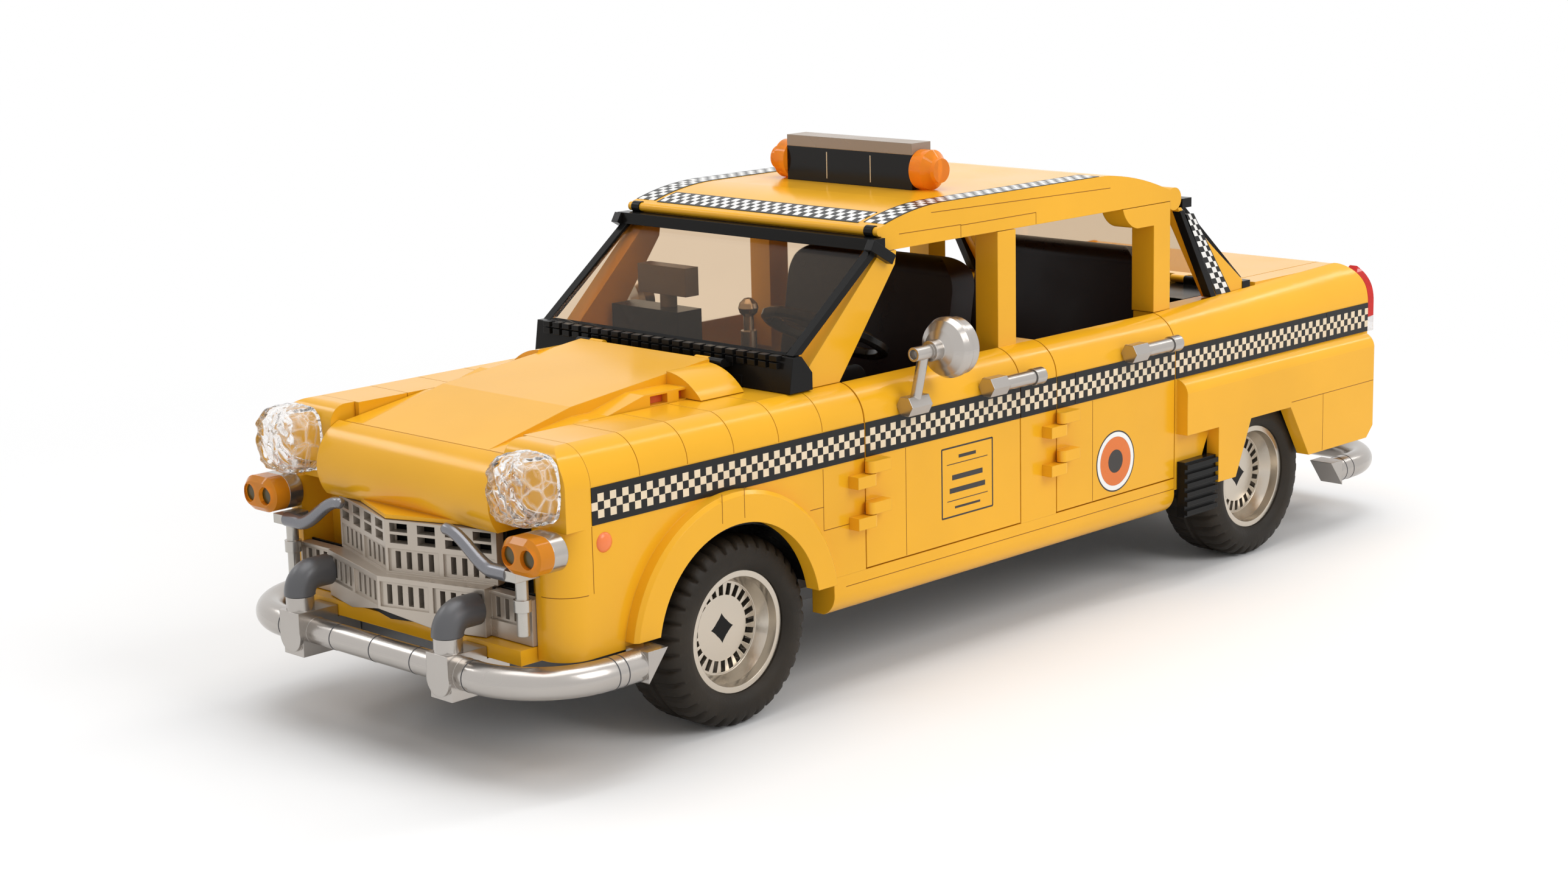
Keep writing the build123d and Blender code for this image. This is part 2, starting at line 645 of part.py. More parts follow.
wing_face = hood_strip(BELT_Z, BELT_Z, BELT_Z - HOOD_SKIN)
cheek_face = hood_strip(BULGE_CREASE_Z, BULGE_BACK_Z, BELT_Z - HOOD_SKIN)
hood = along_y(hood_strip(BULGE_CREASE_Z, BULGE_BACK_Z, BULGE_BACK_Z - HOOD_SKIN), -BULGE_HALF, BULGE_HALF)
wing = along_y(wing_face, BULGE_HALF - HOOD_SKIN, HOOD_HALF)
wing += along_y(cheek_face, BULGE_HALF - HOOD_SKIN, BULGE_HALF)
wing += along_y(
    side_face(
        (VENT_FRONT, BELT_Z),
        (VENTS[0] - 2.0, BELT_Z + VENT_HEIGHT),
        (VENT_BACK, BELT_Z + VENT_HEIGHT),
        (VENT_BACK, BELT_Z),
    ),
    BULGE_HALF,
    HOOD_HALF,
)
for vent in VENTS:
    wing -= slab(
        vent,
        vent + VENT_LENGTH,
        HOOD_HALF - VENT_DEPTH,
        HOOD_HALF,
        BELT_Z + SEAM,
        BELT_Z + VENT_HEIGHT - VENT_WALL,
    )
fairing_mid = (BULGE_HALF + FAIRING_HALF) / 2
wing += along_x(
    section(
        (BULGE_HALF, BELT_Z + SEAM),
        (BULGE_HALF, BULGE_BACK_Z - 1.0),
        (fairing_mid, BELT_Z + 0.66 * (BULGE_BACK_Z - BELT_Z), FAIRING_HALF, BELT_Z + SEAM),
    ),
    FAIRING_FRONT,
    HOOD_BACK,
)
hinge_foot = HOOD_AXIS_Z - HINGE_R
wing += rod_y(HOOD_AXIS, HOOD_AXIS_Z, HINGE_R, HINGE_Y, HINGE_Y + HINGE_LENGTH)
wing += slab(HOOD_BACK, HOOD_AXIS, HINGE_Y, HINGE_Y + HINGE_LENGTH, hinge_foot, HOOD_AXIS_Z)
add("hood", hood + wing + other_side(wing))

# Engine: one plain block on the floor under the hood, with a narrower head
ENGINE_FRONT = 10.0
ENGINE_BACK = 62.0
ENGINE_HALF = 30.0
ENGINE_HEIGHT = 26.0
HEAD_HALF = 14.0
HEAD_HEIGHT = 9.6
engine_top = DECK_Z + ENGINE_HEIGHT
engine = slab(ENGINE_FRONT, ENGINE_BACK, -ENGINE_HALF, ENGINE_HALF, DECK_Z, engine_top)
engine += slab(
    ENGINE_FRONT + STUD, ENGINE_BACK - STUD, -HEAD_HALF, HEAD_HALF, engine_top, engine_top + HEAD_HEIGHT
)
add("engine", engine)

# Cowl: firewall and the dark base of the windscreen
COWL_BEHIND = 4.5            # behind the hood's back edge, past the hinge
COWL_FRONT = HOOD_BACK + COWL_BEHIND
COWL_HEIGHT = 9.4
COWL_DEPTH = 8.5
COWL_LIP = 1.4
COWL_LEDGE = 3.2
FIREWALL = 3.2
GLASS = 2.0
GLASS_HALF = CABIN_HALF - 2.4
FRAME_SIDE = 2.6
FRAME_HALF = GLASS_HALF + SEAM + FRAME_SIDE
FRAME_LIP = 1.2
COWL_HALF = FRAME_HALF + FRAME_LIP
cowl_top = BELT_Z + COWL_HEIGHT
cowl = along_y(
    side_face(
        (COWL_FRONT, BELT_Z + SEAM),
        (COWL_FRONT + COWL_LIP, cowl_top),
        (COWL_FRONT + COWL_LIP + COWL_LEDGE, cowl_top),
        (COWL_FRONT + COWL_DEPTH, BELT_Z + COWL_HEIGHT / 2),
        (COWL_FRONT + COWL_DEPTH, BELT_Z + SEAM),
    ),
    -COWL_HALF,
    COWL_HALF,
)
cowl += slab(COWL_FRONT, COWL_FRONT + FIREWALL, -HOOD_HALF, HOOD_HALF, DECK_Z, BELT_Z + PLATE)
lug_start = HINGE_Y + HINGE_LENGTH + SEAM
lug_end = lug_start + HINGE_LENGTH
lug = rod_y(HOOD_AXIS, HOOD_AXIS_Z, HINGE_R, lug_start, lug_end)
lug += slab(HOOD_AXIS, COWL_FRONT + COWL_LIP + 1.0, lug_start, lug_end, hinge_foot, HOOD_AXIS_Z)
add("cowl", cowl + lug + other_side(lug))

# Windscreen: tinted pane in a dark frame, leaning back to the roof
SCREEN_FOOT = COWL_FRONT + COWL_LIP + 1.2
SCREEN_LEAN = 31.4
SCREEN_BAR = 3.4
FRAME_DEPTH = 3.2
screen_foot_z = cowl_top + SEAM
screen_top = SCREEN_FOOT + SCREEN_LEAN
screen_top_z = RAIL_Z + 0.4


def leaning(foot, foot_z, top, top_z, thick):
    """Side-view strip from foot to top, its thickness measured level."""
    return side_face((foot, foot_z), (top, top_z), (top + thick, top_z), (foot + thick, foot_z))


screen = leaning(SCREEN_FOOT, screen_foot_z, screen_top, screen_top_z, GLASS)
add("windscreen_glass", along_y(screen, -GLASS_HALF, GLASS_HALF))
screen_frame = slab(
    screen_top - 1.0,
    screen_top + FRAME_DEPTH,
    -FRAME_HALF - FRAME_LIP,
    FRAME_HALF + FRAME_LIP,
    screen_top_z + SEAM,
    screen_top_z + SCREEN_BAR,
)
upright = along_y(
    leaning(SCREEN_FOOT, screen_foot_z, screen_top, screen_top_z + 1.0, FRAME_DEPTH),
    GLASS_HALF + SEAM,
    FRAME_HALF,
)
add("windscreen_frame", screen_frame + upright + other_side(upright))

# Pillars: slanted A posts, upright B posts on the panels between the doors, upright C posts
POST_INNER = CABIN_HALF - 5.6
POST_WIDTH = STUD
A_FOOT = COWL_FRONT + COWL_DEPTH + 0.5
A_FOOT_DEPTH = 11.4
A_FOOT_RISE = 5.9
A_LEAN = 27.8
A_TOP_DEPTH = 6.5
a_top = A_FOOT + A_LEAN
a_post = along_y(
    side_face(
        (A_FOOT, BELT_Z + SEAM),
        (A_FOOT, BELT_Z + A_FOOT_RISE),
        (a_top, RAIL_Z - SEAM),
        (a_top + A_TOP_DEPTH, RAIL_Z - SEAM),
        (a_top + 0.9 * A_TOP_DEPTH, RAIL_Z - 0.6 * A_TOP_DEPTH),
        (A_FOOT + A_FOOT_DEPTH, BELT_Z + SEAM),
    ),
    POST_INNER,
    CABIN_HALF,
)
add_both("a_posts", a_post)

b_inner = CABIN_HALF - POST_WIDTH
b_start = B_PANEL + DOOR_GAP / 2
b_post = along_x(side_panel(DECK_Z, BODY_HALF - DOOR_THICK, b_inner), b_start, DOOR2 - DOOR_GAP / 2)
b_post += slab(b_start, B_PANEL + POST_WIDTH, b_inner, CABIN_HALF, BELT_Z, RAIL_Z - SEAM)
add_both("b_posts", b_post)

C_BRACKET = 15.0
C_BRACKET_DROP = 6.4
c_post = along_y(
    side_face(
        (QUARTER, BELT_Z + SEAM),
        (QUARTER, RAIL_Z - C_BRACKET_DROP),
        (QUARTER - POST_WIDTH, RAIL_Z - C_BRACKET_DROP),
        (QUARTER - 0.83 * C_BRACKET, RAIL_Z - 0.65 * C_BRACKET_DROP, QUARTER - C_BRACKET, RAIL_Z - SEAM),
        (QUARTER + POST_WIDTH, RAIL_Z - SEAM),
        (QUARTER + POST_WIDTH, BELT_Z + SEAM),
    ),
    b_inner,
    CABIN_HALF,
)
add_both("c_posts", c_post)

# Roof: flat in the middle, rounded down at the front and back, hollow under the rails
ROOF_FRONT = screen_top + FRAME_DEPTH + SEAM
ROOF_FRONT_RUN = 24.8
ROOF_BACK_RUN = 31.0
ROOF_BACK = QUARTER + POST_WIDTH
ROOF_FRONT_DROP = 4.0
ROOF_BACK_DROP = 7.4
ROOF_SKIN = 4.0
RAIL_WIDTH = STUD
END_R = 2.7
NOSE_REACH = 0.4             # rounded strip along the roof's front edge
roof_flat = ROOF_FRONT + ROOF_FRONT_RUN
roof_flat_end = ROOF_BACK - ROOF_BACK_RUN
roof_front_z = ROOF_Z - ROOF_FRONT_DROP
strip_foot = screen_top_z + SCREEN_BAR + SEAM
strip_front = ROOF_FRONT - NOSE_REACH
strip_r = (roof_front_z - strip_foot) / 2
roof_back_z = ROOF_Z - ROOF_BACK_DROP
roof = along_y(
    side_face(
        (ROOF_FRONT, RAIL_Z),
        (ROOF_FRONT, strip_foot),
        (strip_front, strip_foot),
        (strip_front - strip_r, strip_foot + strip_r, strip_front, roof_front_z),
        (ROOF_FRONT, roof_front_z),
        (ROOF_FRONT + 0.44 * ROOF_FRONT_RUN, ROOF_Z - ROOF_FRONT_DROP / 3, roof_flat, ROOF_Z),
        (roof_flat_end, ROOF_Z),
        (ROOF_BACK - 0.44 * ROOF_BACK_RUN, ROOF_Z - 0.39 * ROOF_BACK_DROP, ROOF_BACK, roof_back_z),
        (ROOF_BACK + 2 * END_R, roof_back_z - END_R, ROOF_BACK, roof_back_z - 2 * END_R),
        (ROOF_BACK, RAIL_Z),
    ),
    -CABIN_HALF,
    CABIN_HALF,
)
roof -= along_y(
    side_face(
        (ROOF_FRONT + ROOF_SKIN, RAIL_Z),
        (ROOF_FRONT + ROOF_SKIN, roof_front_z - ROOF_SKIN / 2),
        (roof_flat, ROOF_Z - ROOF_SKIN),
        (roof_flat_end, ROOF_Z - ROOF_SKIN),
        (ROOF_BACK - ROOF_SKIN, RAIL_Z),
    ),
    -CABIN_HALF + RAIL_WIDTH,
    CABIN_HALF - RAIL_WIDTH,
)
add("roof", roof)


def turned(*profile):
    """Solid turned about the Y axis from (radius, y) corners."""
    return revolve(make_face(Polyline(*profile, close=True)), Axis.Y)


# Roof sign: blank dark box with a pale cap and a stepped amber lamp at each end
SIGN_FRONT = 152.0
SIGN_DEPTH = STUD
SIGN_HALF = 3 * STUD
SIGN_LAMP_R = 5.6
SIGN_LAMP_TIP_R = 3.4
SIGN_LAMP_FLAT = 4.0
SIGN_LAMP_TAPER = 1.9
SIGN_LAMP_TIP = 1.4
sign_top = ROOF_Z + SIGN_HEIGHT
sign_end = SIGN_FRONT + SIGN_DEPTH
add("roof_sign", slab(SIGN_FRONT, sign_end, -SIGN_HALF, SIGN_HALF, ROOF_Z, sign_top))
add("sign_cap", slab(SIGN_FRONT, sign_end, -SIGN_HALF, SIGN_HALF, sign_top, sign_top + SIGN_CAP))
lamp_start = SIGN_HALF + SEAM
lamp_taper = lamp_start + SIGN_LAMP_FLAT
lamp_tip = lamp_taper + SIGN_LAMP_TAPER
sign_lamp = turned(
    (0, lamp_start),
    (SIGN_LAMP_R, lamp_start),
    (SIGN_LAMP_R, lamp_taper),
    (SIGN_LAMP_TIP_R, lamp_tip),
    (SIGN_LAMP_TIP_R, lamp_tip + SIGN_LAMP_TIP),
    (0, lamp_tip + SIGN_LAMP_TIP),
)
add_both("sign_lamps", Pos(at(SIGN_FRONT + SIGN_DEPTH / 2), 0, ROOF_Z + SIGN_LAMP_R) * sign_lamp)

# Sills: rounded rockers under the doors, between the wheel openings
SILL_FRONT = FRONT_AXLE + WELL_R
SILL_BACK = QUARTER
SILL_INNER = CABIN_HALF
SILL_TUCK = 4.0
SILL_FLAT = 3.8
sill = along_x(
    section(
        (SILL_INNER, SILL_Z),
        (BODY_HALF - SILL_TUCK, SILL_Z),
        (BODY_HALF - 0.22 * SILL_TUCK, SILL_Z + 0.65 * SILL_TUCK, BODY_HALF, DECK_Z - SILL_FLAT),
        (BODY_HALF, DECK_Z),
        (SILL_INNER, DECK_Z),
    ),
    SILL_FRONT,
    SILL_BACK,
)
add_both("sills", sill)

# Doors: flat side, stripe and curved shoulder in one piece, hung on outside hinges; handles are
# a six-sided block, a bar and a cap
HINGE_STANDS_OUT = 2.0
DOOR_HINGE_R = 1.5
KNUCKLE = 3.2
# Hinge heights above the floor
DOOR_HINGES = (12.0, 23.0)
DOOR_AXIS_Y = BODY_HALF + HINGE_STANDS_OUT
# Door name, station of its front edge, length, station of its handle's front end
DOORS = (
    ("front_door", DOOR1, FRONT_DOOR_LENGTH, DOOR1 + 46.3),
    ("rear_door", DOOR2, REAR_DOOR_LENGTH, DOOR2 + 30.0),
)
HANDLE_Z = SHOULDER_Z + 2.2
HANDLE_BLOCK = 7.0
HANDLE_BLOCK_R = 2.9
HANDLE_BAR = 12.5
HANDLE_BAR_R = 2.0
HANDLE_CAP = 4.0
HANDLE_CAP_R = 2.4
HANDLE_Y = BODY_HALF + HANDLE_CAP_R + 0.3


def knuckle(station, z, toward):
    """Half of a hinge: a pin barrel on the door axis and a lug towards the piece that carries it."""
    barrel = rod_z(station, DOOR_AXIS_Y, DOOR_HINGE_R, z, z + KNUCKLE)
    lug = slab(station, station + toward, BODY_HALF, DOOR_AXIS_Y + DOOR_HINGE_R, z, z + KNUCKLE)
    return barrel + lug


def six_sided(s0, s1, y, z, radius):
    """Six-sided bar along the cab."""
    plane = Plane(origin=(at(s1), y, z), x_dir=(0, 1, 0), z_dir=(1, 0, 0))
    return extrude(plane * RegularPolygon(radius, 6), s1 - s0)


for name, front, length, handle_front in DOORS:
    start = front + DOOR_GAP / 2
    end = front + length - DOOR_GAP / 2
    door = along_x(side_panel(DECK_Z + DOOR_GAP, BODY_HALF - DOOR_THICK, CABIN_HALF), start, end)
    fixed = []
    for height in DOOR_HINGES:
        z = DECK_Z + height
        door += knuckle(front, z + KNUCKLE + SEAM, 2 * KNUCKLE)
        fixed.append(knuckle(front, z, -2 * KNUCKLE))
    add_pair(name, door)
    add_both("door_hinges", *fixed)
    bar_start = handle_front + HANDLE_BLOCK
    bar_end = bar_start + HANDLE_BAR
    handle = six_sided(handle_front, bar_start, HANDLE_Y, HANDLE_Z, HANDLE_BLOCK_R)
    handle += rod_y(handle_front + HANDLE_BLOCK / 2, HANDLE_Z, HANDLE_BAR_R, BODY_HALF - 1.0, HANDLE_Y)
    handle += rod_x(bar_start, bar_end, HANDLE_Y, HANDLE_Z, HANDLE_BAR_R)
    handle += rod_x(bar_end, bar_end + HANDLE_CAP, HANDLE_Y, HANDLE_Z, HANDLE_CAP_R)
    handle -= along_x(side_panel(DECK_Z, BODY_HALF - DOOR_THICK, CABIN_HALF), start, end)
    add_pair(name + "_handle", handle)

# Mirrors: a six-sided foot on the front door, an arm, a tube and a domed dish that faces back
MIRROR_BACK = 17.0           # behind the door's front edge
MIRROR_STATION = DOOR1 + MIRROR_BACK
FOOT_LENGTH = 8.0
FOOT_R = 2.9
FOOT_Z = SHOULDER_Z + 2.2
MIRROR_Y = BODY_HALF + 6.0
MIRROR_Z = BELT_Z + 7.0
MIRROR_R = 8.2
MIRROR_DOME = 4.0
MIRROR_RIM = 1.4
MIRROR_PANE = 2.8
ARM_R = 1.5
TUBE_OUT = 4.2
MIRROR_TUBE_R = 1.9
MIRROR_BORE_R = 1.3
MIRROR_BORE = 2.0
MIRROR_COLLAR_R = 2.8
MIRROR_COLLAR = 3.0
foot_y = BODY_HALF + FOOT_R - 0.4
foot = six_sided(MIRROR_STATION - FOOT_LENGTH / 2, MIRROR_STATION + FOOT_LENGTH / 2, foot_y, FOOT_Z, FOOT_R)
foot -= along_x(side_panel(DECK_Z, BODY_HALF - DOOR_THICK, CABIN_HALF), DOOR1, B_PANEL)
arm = rod((MIRROR_STATION, foot_y, FOOT_Z), (MIRROR_STATION, MIRROR_Y, MIRROR_Z), ARM_R)
collar_start = 1.4 * ARM_R
collar = collar_start + MIRROR_COLLAR
rim = collar + MIRROR_DOME
head = turned(
    (MIRROR_BORE_R, -TUBE_OUT),
    (MIRROR_TUBE_R, -TUBE_OUT),
    (MIRROR_TUBE_R, collar_start),
    (MIRROR_COLLAR_R, collar_start),
    (MIRROR_COLLAR_R, collar),
    (0.62 * MIRROR_R, collar + 0.25 * MIRROR_DOME),
    (0.9 * MIRROR_R, collar + 0.62 * MIRROR_DOME),
    (MIRROR_R, rim),
    (MIRROR_R, rim + MIRROR_RIM),
    (0.95 * MIRROR_R, rim + MIRROR_RIM),
    (0.95 * MIRROR_R, rim + MIRROR_RIM + MIRROR_PANE),
    (0, rim + MIRROR_RIM + MIRROR_PANE),
    (0, MIRROR_BORE - TUBE_OUT),
    (MIRROR_BORE_R, MIRROR_BORE - TUBE_OUT),
)
head = Pos(at(MIRROR_STATION), MIRROR_Y, MIRROR_Z) * Rot(Z=90) * head
add_pair("mirror", foot + arm + head)

# Rear quarters: side wall, a shoulder that rises to a rounded fin, and a skirt over the wheel's top
SKIRT_FOOT_Z = DECK_Z - 3.5
SKIRT_LIFT = 13.4
SKIRT_TOP_Z = DECK_Z + SKIRT_LIFT
SKIRT_BACK = TAIL - 2.0
SKIRT_FRONT = QUARTER + 1.0
SKIRT_ROLL = 5.0
SKIRT_CORNER = 3.6
WELL_REACH = 27.5            # skirt's first foot ahead of the axle
WELL_FRONT = REAR_AXLE - WELL_REACH
SKIRT_TOE = 9.0              # length of the first foot
SKIRT_UP = 16.8              # end of the slope up from the first foot
SKIRT_OPEN = 10.5            # end of the skirt's raised edge behind the axle
SKIRT_DOWN = 21.0            # end of its slope down to the second foot
FIN_RISE = 3.4
FIN_R = 9.0
DECK_RISE = 2.7
LID_FRONT = 284.0
quarter_start = QUARTER + DOOR_GAP / 2
shelf_inner = TRUNK_HALF + DOOR_GAP
fin_z = BELT_Z + FIN_RISE
fin_station = TAIL - FIN_R
fin_foot = CABIN_HALF + SEAM
quarter = slab(quarter_start, TAIL, WALL_INNER, BODY_HALF, SKIRT_FOOT_Z, SHOULDER_Z)
quarter -= rod_y(REAR_AXLE, AXLE_Z, WELL_R, WALL_INNER - 1, BODY_HALF + 1)
quarter -= slab(REAR_AXLE - WELL_R, REAR_AXLE + WELL_R, WALL_INNER, BODY_HALF, 0, AXLE_Z + 4.5)


def ridge_section(top):
    """Cross-section of the rear shoulder outside the cabin's line, up to a height."""
    middle_y, middle_z, end_y, end_z = shoulder_arc(top)
    return section(
        (fin_foot, SHOULDER_Z), (BODY_HALF, SHOULDER_Z), (middle_y, middle_z, end_y + SEAM, end_z)
    )


ridge = loft(
    [
        Plane.YZ.offset(at(quarter_start)) * ridge_section(BELT_Z),
        Plane.YZ.offset(at(fin_station)) * ridge_section(fin_z),
    ],
    ruled=True,
)
ridge += along_x(ridge_section(fin_z), fin_station, TAIL)
tops = slab(quarter_start, TAIL, shelf_inner, BODY_HALF - 4.0, SHOULDER_Z, SHOULDER_Z + 0.6 * SHOULDER_HEIGHT)
tops += slab(quarter_start, TAIL, shelf_inner, fin_foot, SHOULDER_Z, BELT_Z)
tops += slab(LID_FRONT, TAIL, shelf_inner, fin_foot, BELT_Z, BELT_Z + DECK_RISE)
tops += ridge
fin_mid = (1 - BACK_CORNER) * FIN_R
tops &= along_y(
    side_face(
        (quarter_start, SHOULDER_Z),
        (quarter_start, fin_z),
        (fin_station, fin_z),
        (fin_station + fin_mid, fin_z - BACK_CORNER * FIN_R, TAIL, fin_z - FIN_R),
        (TAIL, SHOULDER_Z),
    ),
    shelf_inner,
    BODY_HALF,
)
quarter += tops
skirt = along_y(
    side_face(
        (SKIRT_FRONT, STRIPE_Z),
        (SKIRT_FRONT, SKIRT_TOP_Z),
        (WELL_FRONT, SKIRT_TOP_Z),
        (WELL_FRONT, SKIRT_FOOT_Z),
        (WELL_FRONT + SKIRT_TOE, SKIRT_FOOT_Z),
        (WELL_FRONT + SKIRT_UP, SKIRT_TOP_Z),
        (REAR_AXLE + SKIRT_OPEN, SKIRT_TOP_Z),
        (REAR_AXLE + SKIRT_DOWN, SKIRT_FOOT_Z),
        (SKIRT_BACK - SKIRT_CORNER, SKIRT_FOOT_Z),
        (SKIRT_BACK, SKIRT_FOOT_Z + SKIRT_CORNER),
        (SKIRT_BACK, STRIPE_Z),
    ),
    ARCH_INNER,
    ARCH_FACE,
)
skirt &= along_x(
    section(
        (ARCH_INNER, SKIRT_FOOT_Z),
        (ARCH_FACE, SKIRT_FOOT_Z),
        (ARCH_FACE, STRIPE_Z - SKIRT_ROLL),
        (ARCH_FACE - BACK_CORNER * ARCH_PROUD, STRIPE_Z - BACK_CORNER * SKIRT_ROLL, BODY_HALF, STRIPE_Z),
        (ARCH_INNER, STRIPE_Z),
    ),
    SKIRT_FRONT,
    SKIRT_BACK,
)
quarter += skirt
add_pair("rear_quarter", quarter)

# Stone guards: dark blocks with level ribs ahead of the rear wheels
GUARD_RIBS = 6
GUARD_FOOT_Z = SILL_Z - 1.4
GUARD_TOP_Z = DECK_Z + 5.0
GUARD_RIB = 1.0
guard_start = QUARTER + 1.2
guard_end = WELL_FRONT - SEAM
guard_face = ARCH_FACE - GUARD_RIB
stone_guard = slab(guard_start, guard_end, BODY_HALF + SEAM, guard_face, GUARD_FOOT_Z, GUARD_TOP_Z)
rib_pitch = (GUARD_TOP_Z - GUARD_FOOT_Z) / GUARD_RIBS
for index in range(GUARD_RIBS):
    rib = GUARD_FOOT_Z + index * rib_pitch
    stone_guard += slab(
        guard_start, guard_end, guard_face, ARCH_FACE, rib + 0.25 * rib_pitch, rib + 0.75 * rib_pitch
    )
add_both("stone_guards", stone_guard)

# Tail: panel across the back; lamps that follow the fins' ends
TAIL_PANEL = 5.0
TAIL_TOP_Z = STRIPE_Z + 2.0
TAIL_LAMP_DEPTH = 3.4
TAIL_LAMP_RISE = 4.8
TAIL_LAMP_Z = STRIPE_Z + TAIL_LAMP_RISE
LAMP_TURN = 35.0             # degrees of the fin's end that the red lamp covers
panel_half = WALL_INNER - SEAM
add(
    "tail_panel",
    slab(TAIL - TAIL_PANEL, TAIL, -panel_half, panel_half, FLOOR_Z, TAIL_TOP_Z - DOOR_GAP),
)


def round_fin(radius, turn):
    """Point on a circle about the fin's rounding, turned up from level by some degrees."""
    return (fin_station + radius * cos(radians(turn)), fin_z - FIN_R + radius * sin(radians(turn)))


inside_r = FIN_R + SEAM
outside_r = FIN_R + TAIL_LAMP_DEPTH
fin_section = section(
    (fin_foot, STRIPE_Z),
    (BODY_HALF, STRIPE_Z),
    (BODY_HALF, SHOULDER_Z),
    shoulder_arc(fin_z),
    (fin_foot, fin_z),
)
lamp_bar = along_x(fin_section, TAIL - FIN_R, TAIL + TAIL_LAMP_DEPTH)
red_lamp = along_y(
    side_face(
        (fin_station + inside_r, TAIL_LAMP_Z),
        round_fin(inside_r, 0),
        round_fin(inside_r, LAMP_TURN / 2) + round_fin(inside_r, LAMP_TURN),
        round_fin(outside_r, LAMP_TURN),
        round_fin(outside_r, LAMP_TURN / 2) + round_fin(outside_r, 0),
        (fin_station + outside_r, TAIL_LAMP_Z),
    ),
    fin_foot,
    BODY_HALF,
)
add_both("tail_lamps", red_lamp & lamp_bar)
add_both(
    "reverse_lamps",
    slab(TAIL + SEAM, TAIL + TAIL_LAMP_DEPTH, fin_foot, BODY_HALF, STRIPE_Z, TAIL_LAMP_Z - SEAM),
)

# Trunk lid: deck and back face in one bent panel, hinged at its front edge
LID_SKIN = 3.2
LID_BACK = TAIL + 2.0
LID_ROUND = 8.0
lid_z = BELT_Z + DECK_RISE
lid_axis = LID_FRONT - HINGE_R - 0.5
lid_axis_z = lid_z - HINGE_R
lid = along_y(
    side_face(
        (LID_FRONT, lid_z),
        (LID_BACK - LID_ROUND, lid_z),
        (LID_BACK - BACK_CORNER * LID_ROUND, lid_z - BACK_CORNER * LID_ROUND, LID_BACK, lid_z - LID_ROUND),
        (LID_BACK, TAIL_TOP_Z),
        (LID_BACK - LID_SKIN, TAIL_TOP_Z),
        (LID_BACK - LID_SKIN, lid_z - LID_ROUND),
        (LID_BACK - LID_ROUND, lid_z - LID_SKIN),
        (LID_FRONT, lid_z - LID_SKIN),
    ),
    -TRUNK_HALF,
    TRUNK_HALF,
)
lid_lug = rod_y(lid_axis, lid_axis_z, HINGE_R, HINGE_Y, HINGE_Y + HINGE_LENGTH)
lid_lug += slab(
    lid_axis, LID_FRONT, HINGE_Y, HINGE_Y + HINGE_LENGTH, lid_axis_z - HINGE_R, lid_axis_z + HINGE_R
)
add("trunk_lid", lid + lid_lug + other_side(lid_lug))

# Rear screen: tinted pane between slanted sail posts, with a dark bar above it
REAR_LEAN = 29.8
SAIL_FOOT_DEPTH = 14.0
SAIL_FOOT_RISE = 4.1
rear_foot = LID_FRONT - 5.6
rear_foot_z = BELT_Z + 4.4
rear_top = rear_foot - REAR_LEAN
rear_top_z = RAIL_Z - 3.0
sail_top = roof_back_z - 2 * END_R - SEAM
sail_back = rear_foot - 0.4
sail = along_y(
    side_face(
        (ROOF_BACK + END_R + 1.0, sail_top),
        (sail_back - SAIL_FOOT_DEPTH, BELT_Z + SEAM),
        (sail_back, BELT_Z + SEAM),
        (sail_back - 0.6, BELT_Z + SEAM + SAIL_FOOT_RISE),
        (rear_top - 1.6, rear_top_z - 2.0),
        (ROOF_BACK + 2 * END_R, sail_top),
    ),
    POST_INNER,
    CABIN_HALF,
)
add_both("sail_posts", sail)
rear_pane = leaning(rear_foot, rear_foot_z, rear_top, rear_top_z, GLASS)
add("rear_glass", along_y(rear_pane, -GLASS_HALF, GLASS_HALF))
REAR_BAR = 3.0
rear_bar = slab(
    rear_top - 2.6, rear_top + GLASS, -CABIN_HALF, CABIN_HALF, rear_top_z + SEAM, rear_top_z + REAR_BAR
)
add("rear_screen_bar", rear_bar)

# Shelf behind the rear seat, carrying the trunk hinges
SHELF_DEPTH = 25.6
shelf_end = LID_FRONT - DOOR_GAP
shelf = slab(shelf_end - SHELF_DEPTH, shelf_end, -TRUNK_HALF, TRUNK_HALF, BELT_Z - PLATE, BELT_Z)
shelf_lug = rod_y(lid_axis, lid_axis_z, HINGE_R, lug_start, lug_end)
shelf_lug += slab(lid_axis - HINGE_R, lid_axis + HINGE_R, lug_start, lug_end, BELT_Z, lid_axis_z)
add("rear_shelf", shelf + shelf_lug + other_side(shelf_lug))

# Dashboard: rounded shelf on an upright panel, with a pod for the meter
DASH_FRONT = FENDER_LENGTH + SEAM
DASH_DEPTH = 2 * STUD
DASH_HALF = POST_INNER - SEAM
DASH_TOP = BELT_Z + 2.4
DASH_HEIGHT = 16.0
DASH_ROLL = 5.0
POD_Y = -26.5
POD_HALF = 13.5
POD_HEIGHT = 9.6
POD_DEPTH = 9.0
dash_foot = DASH_TOP - DASH_HEIGHT
dash_back = DASH_FRONT + DASH_DEPTH
dash_roll = dash_back - BACK_CORNER * DASH_ROLL
dash = along_y(
    side_face(
        (DASH_FRONT, dash_foot),
        (DASH_FRONT, DASH_TOP),
        (dash_back - DASH_ROLL, DASH_TOP),
        (dash_roll, DASH_TOP - BACK_CORNER * DASH_ROLL, dash_back, DASH_TOP - DASH_ROLL),
        (dash_back, dash_foot),
    ),
    -DASH_HALF,
    DASH_HALF,
)
dash += slab(DASH_FRONT, DASH_FRONT + PLATE, -DASH_HALF, DASH_HALF, DECK_Z, dash_foot)
dash += slab(
    DASH_FRONT, DASH_FRONT + POD_DEPTH, POD_Y - POD_HALF, POD_Y + POD_HALF, DASH_TOP, DASH_TOP + POD_HEIGHT
)
add("dashboard", dash)

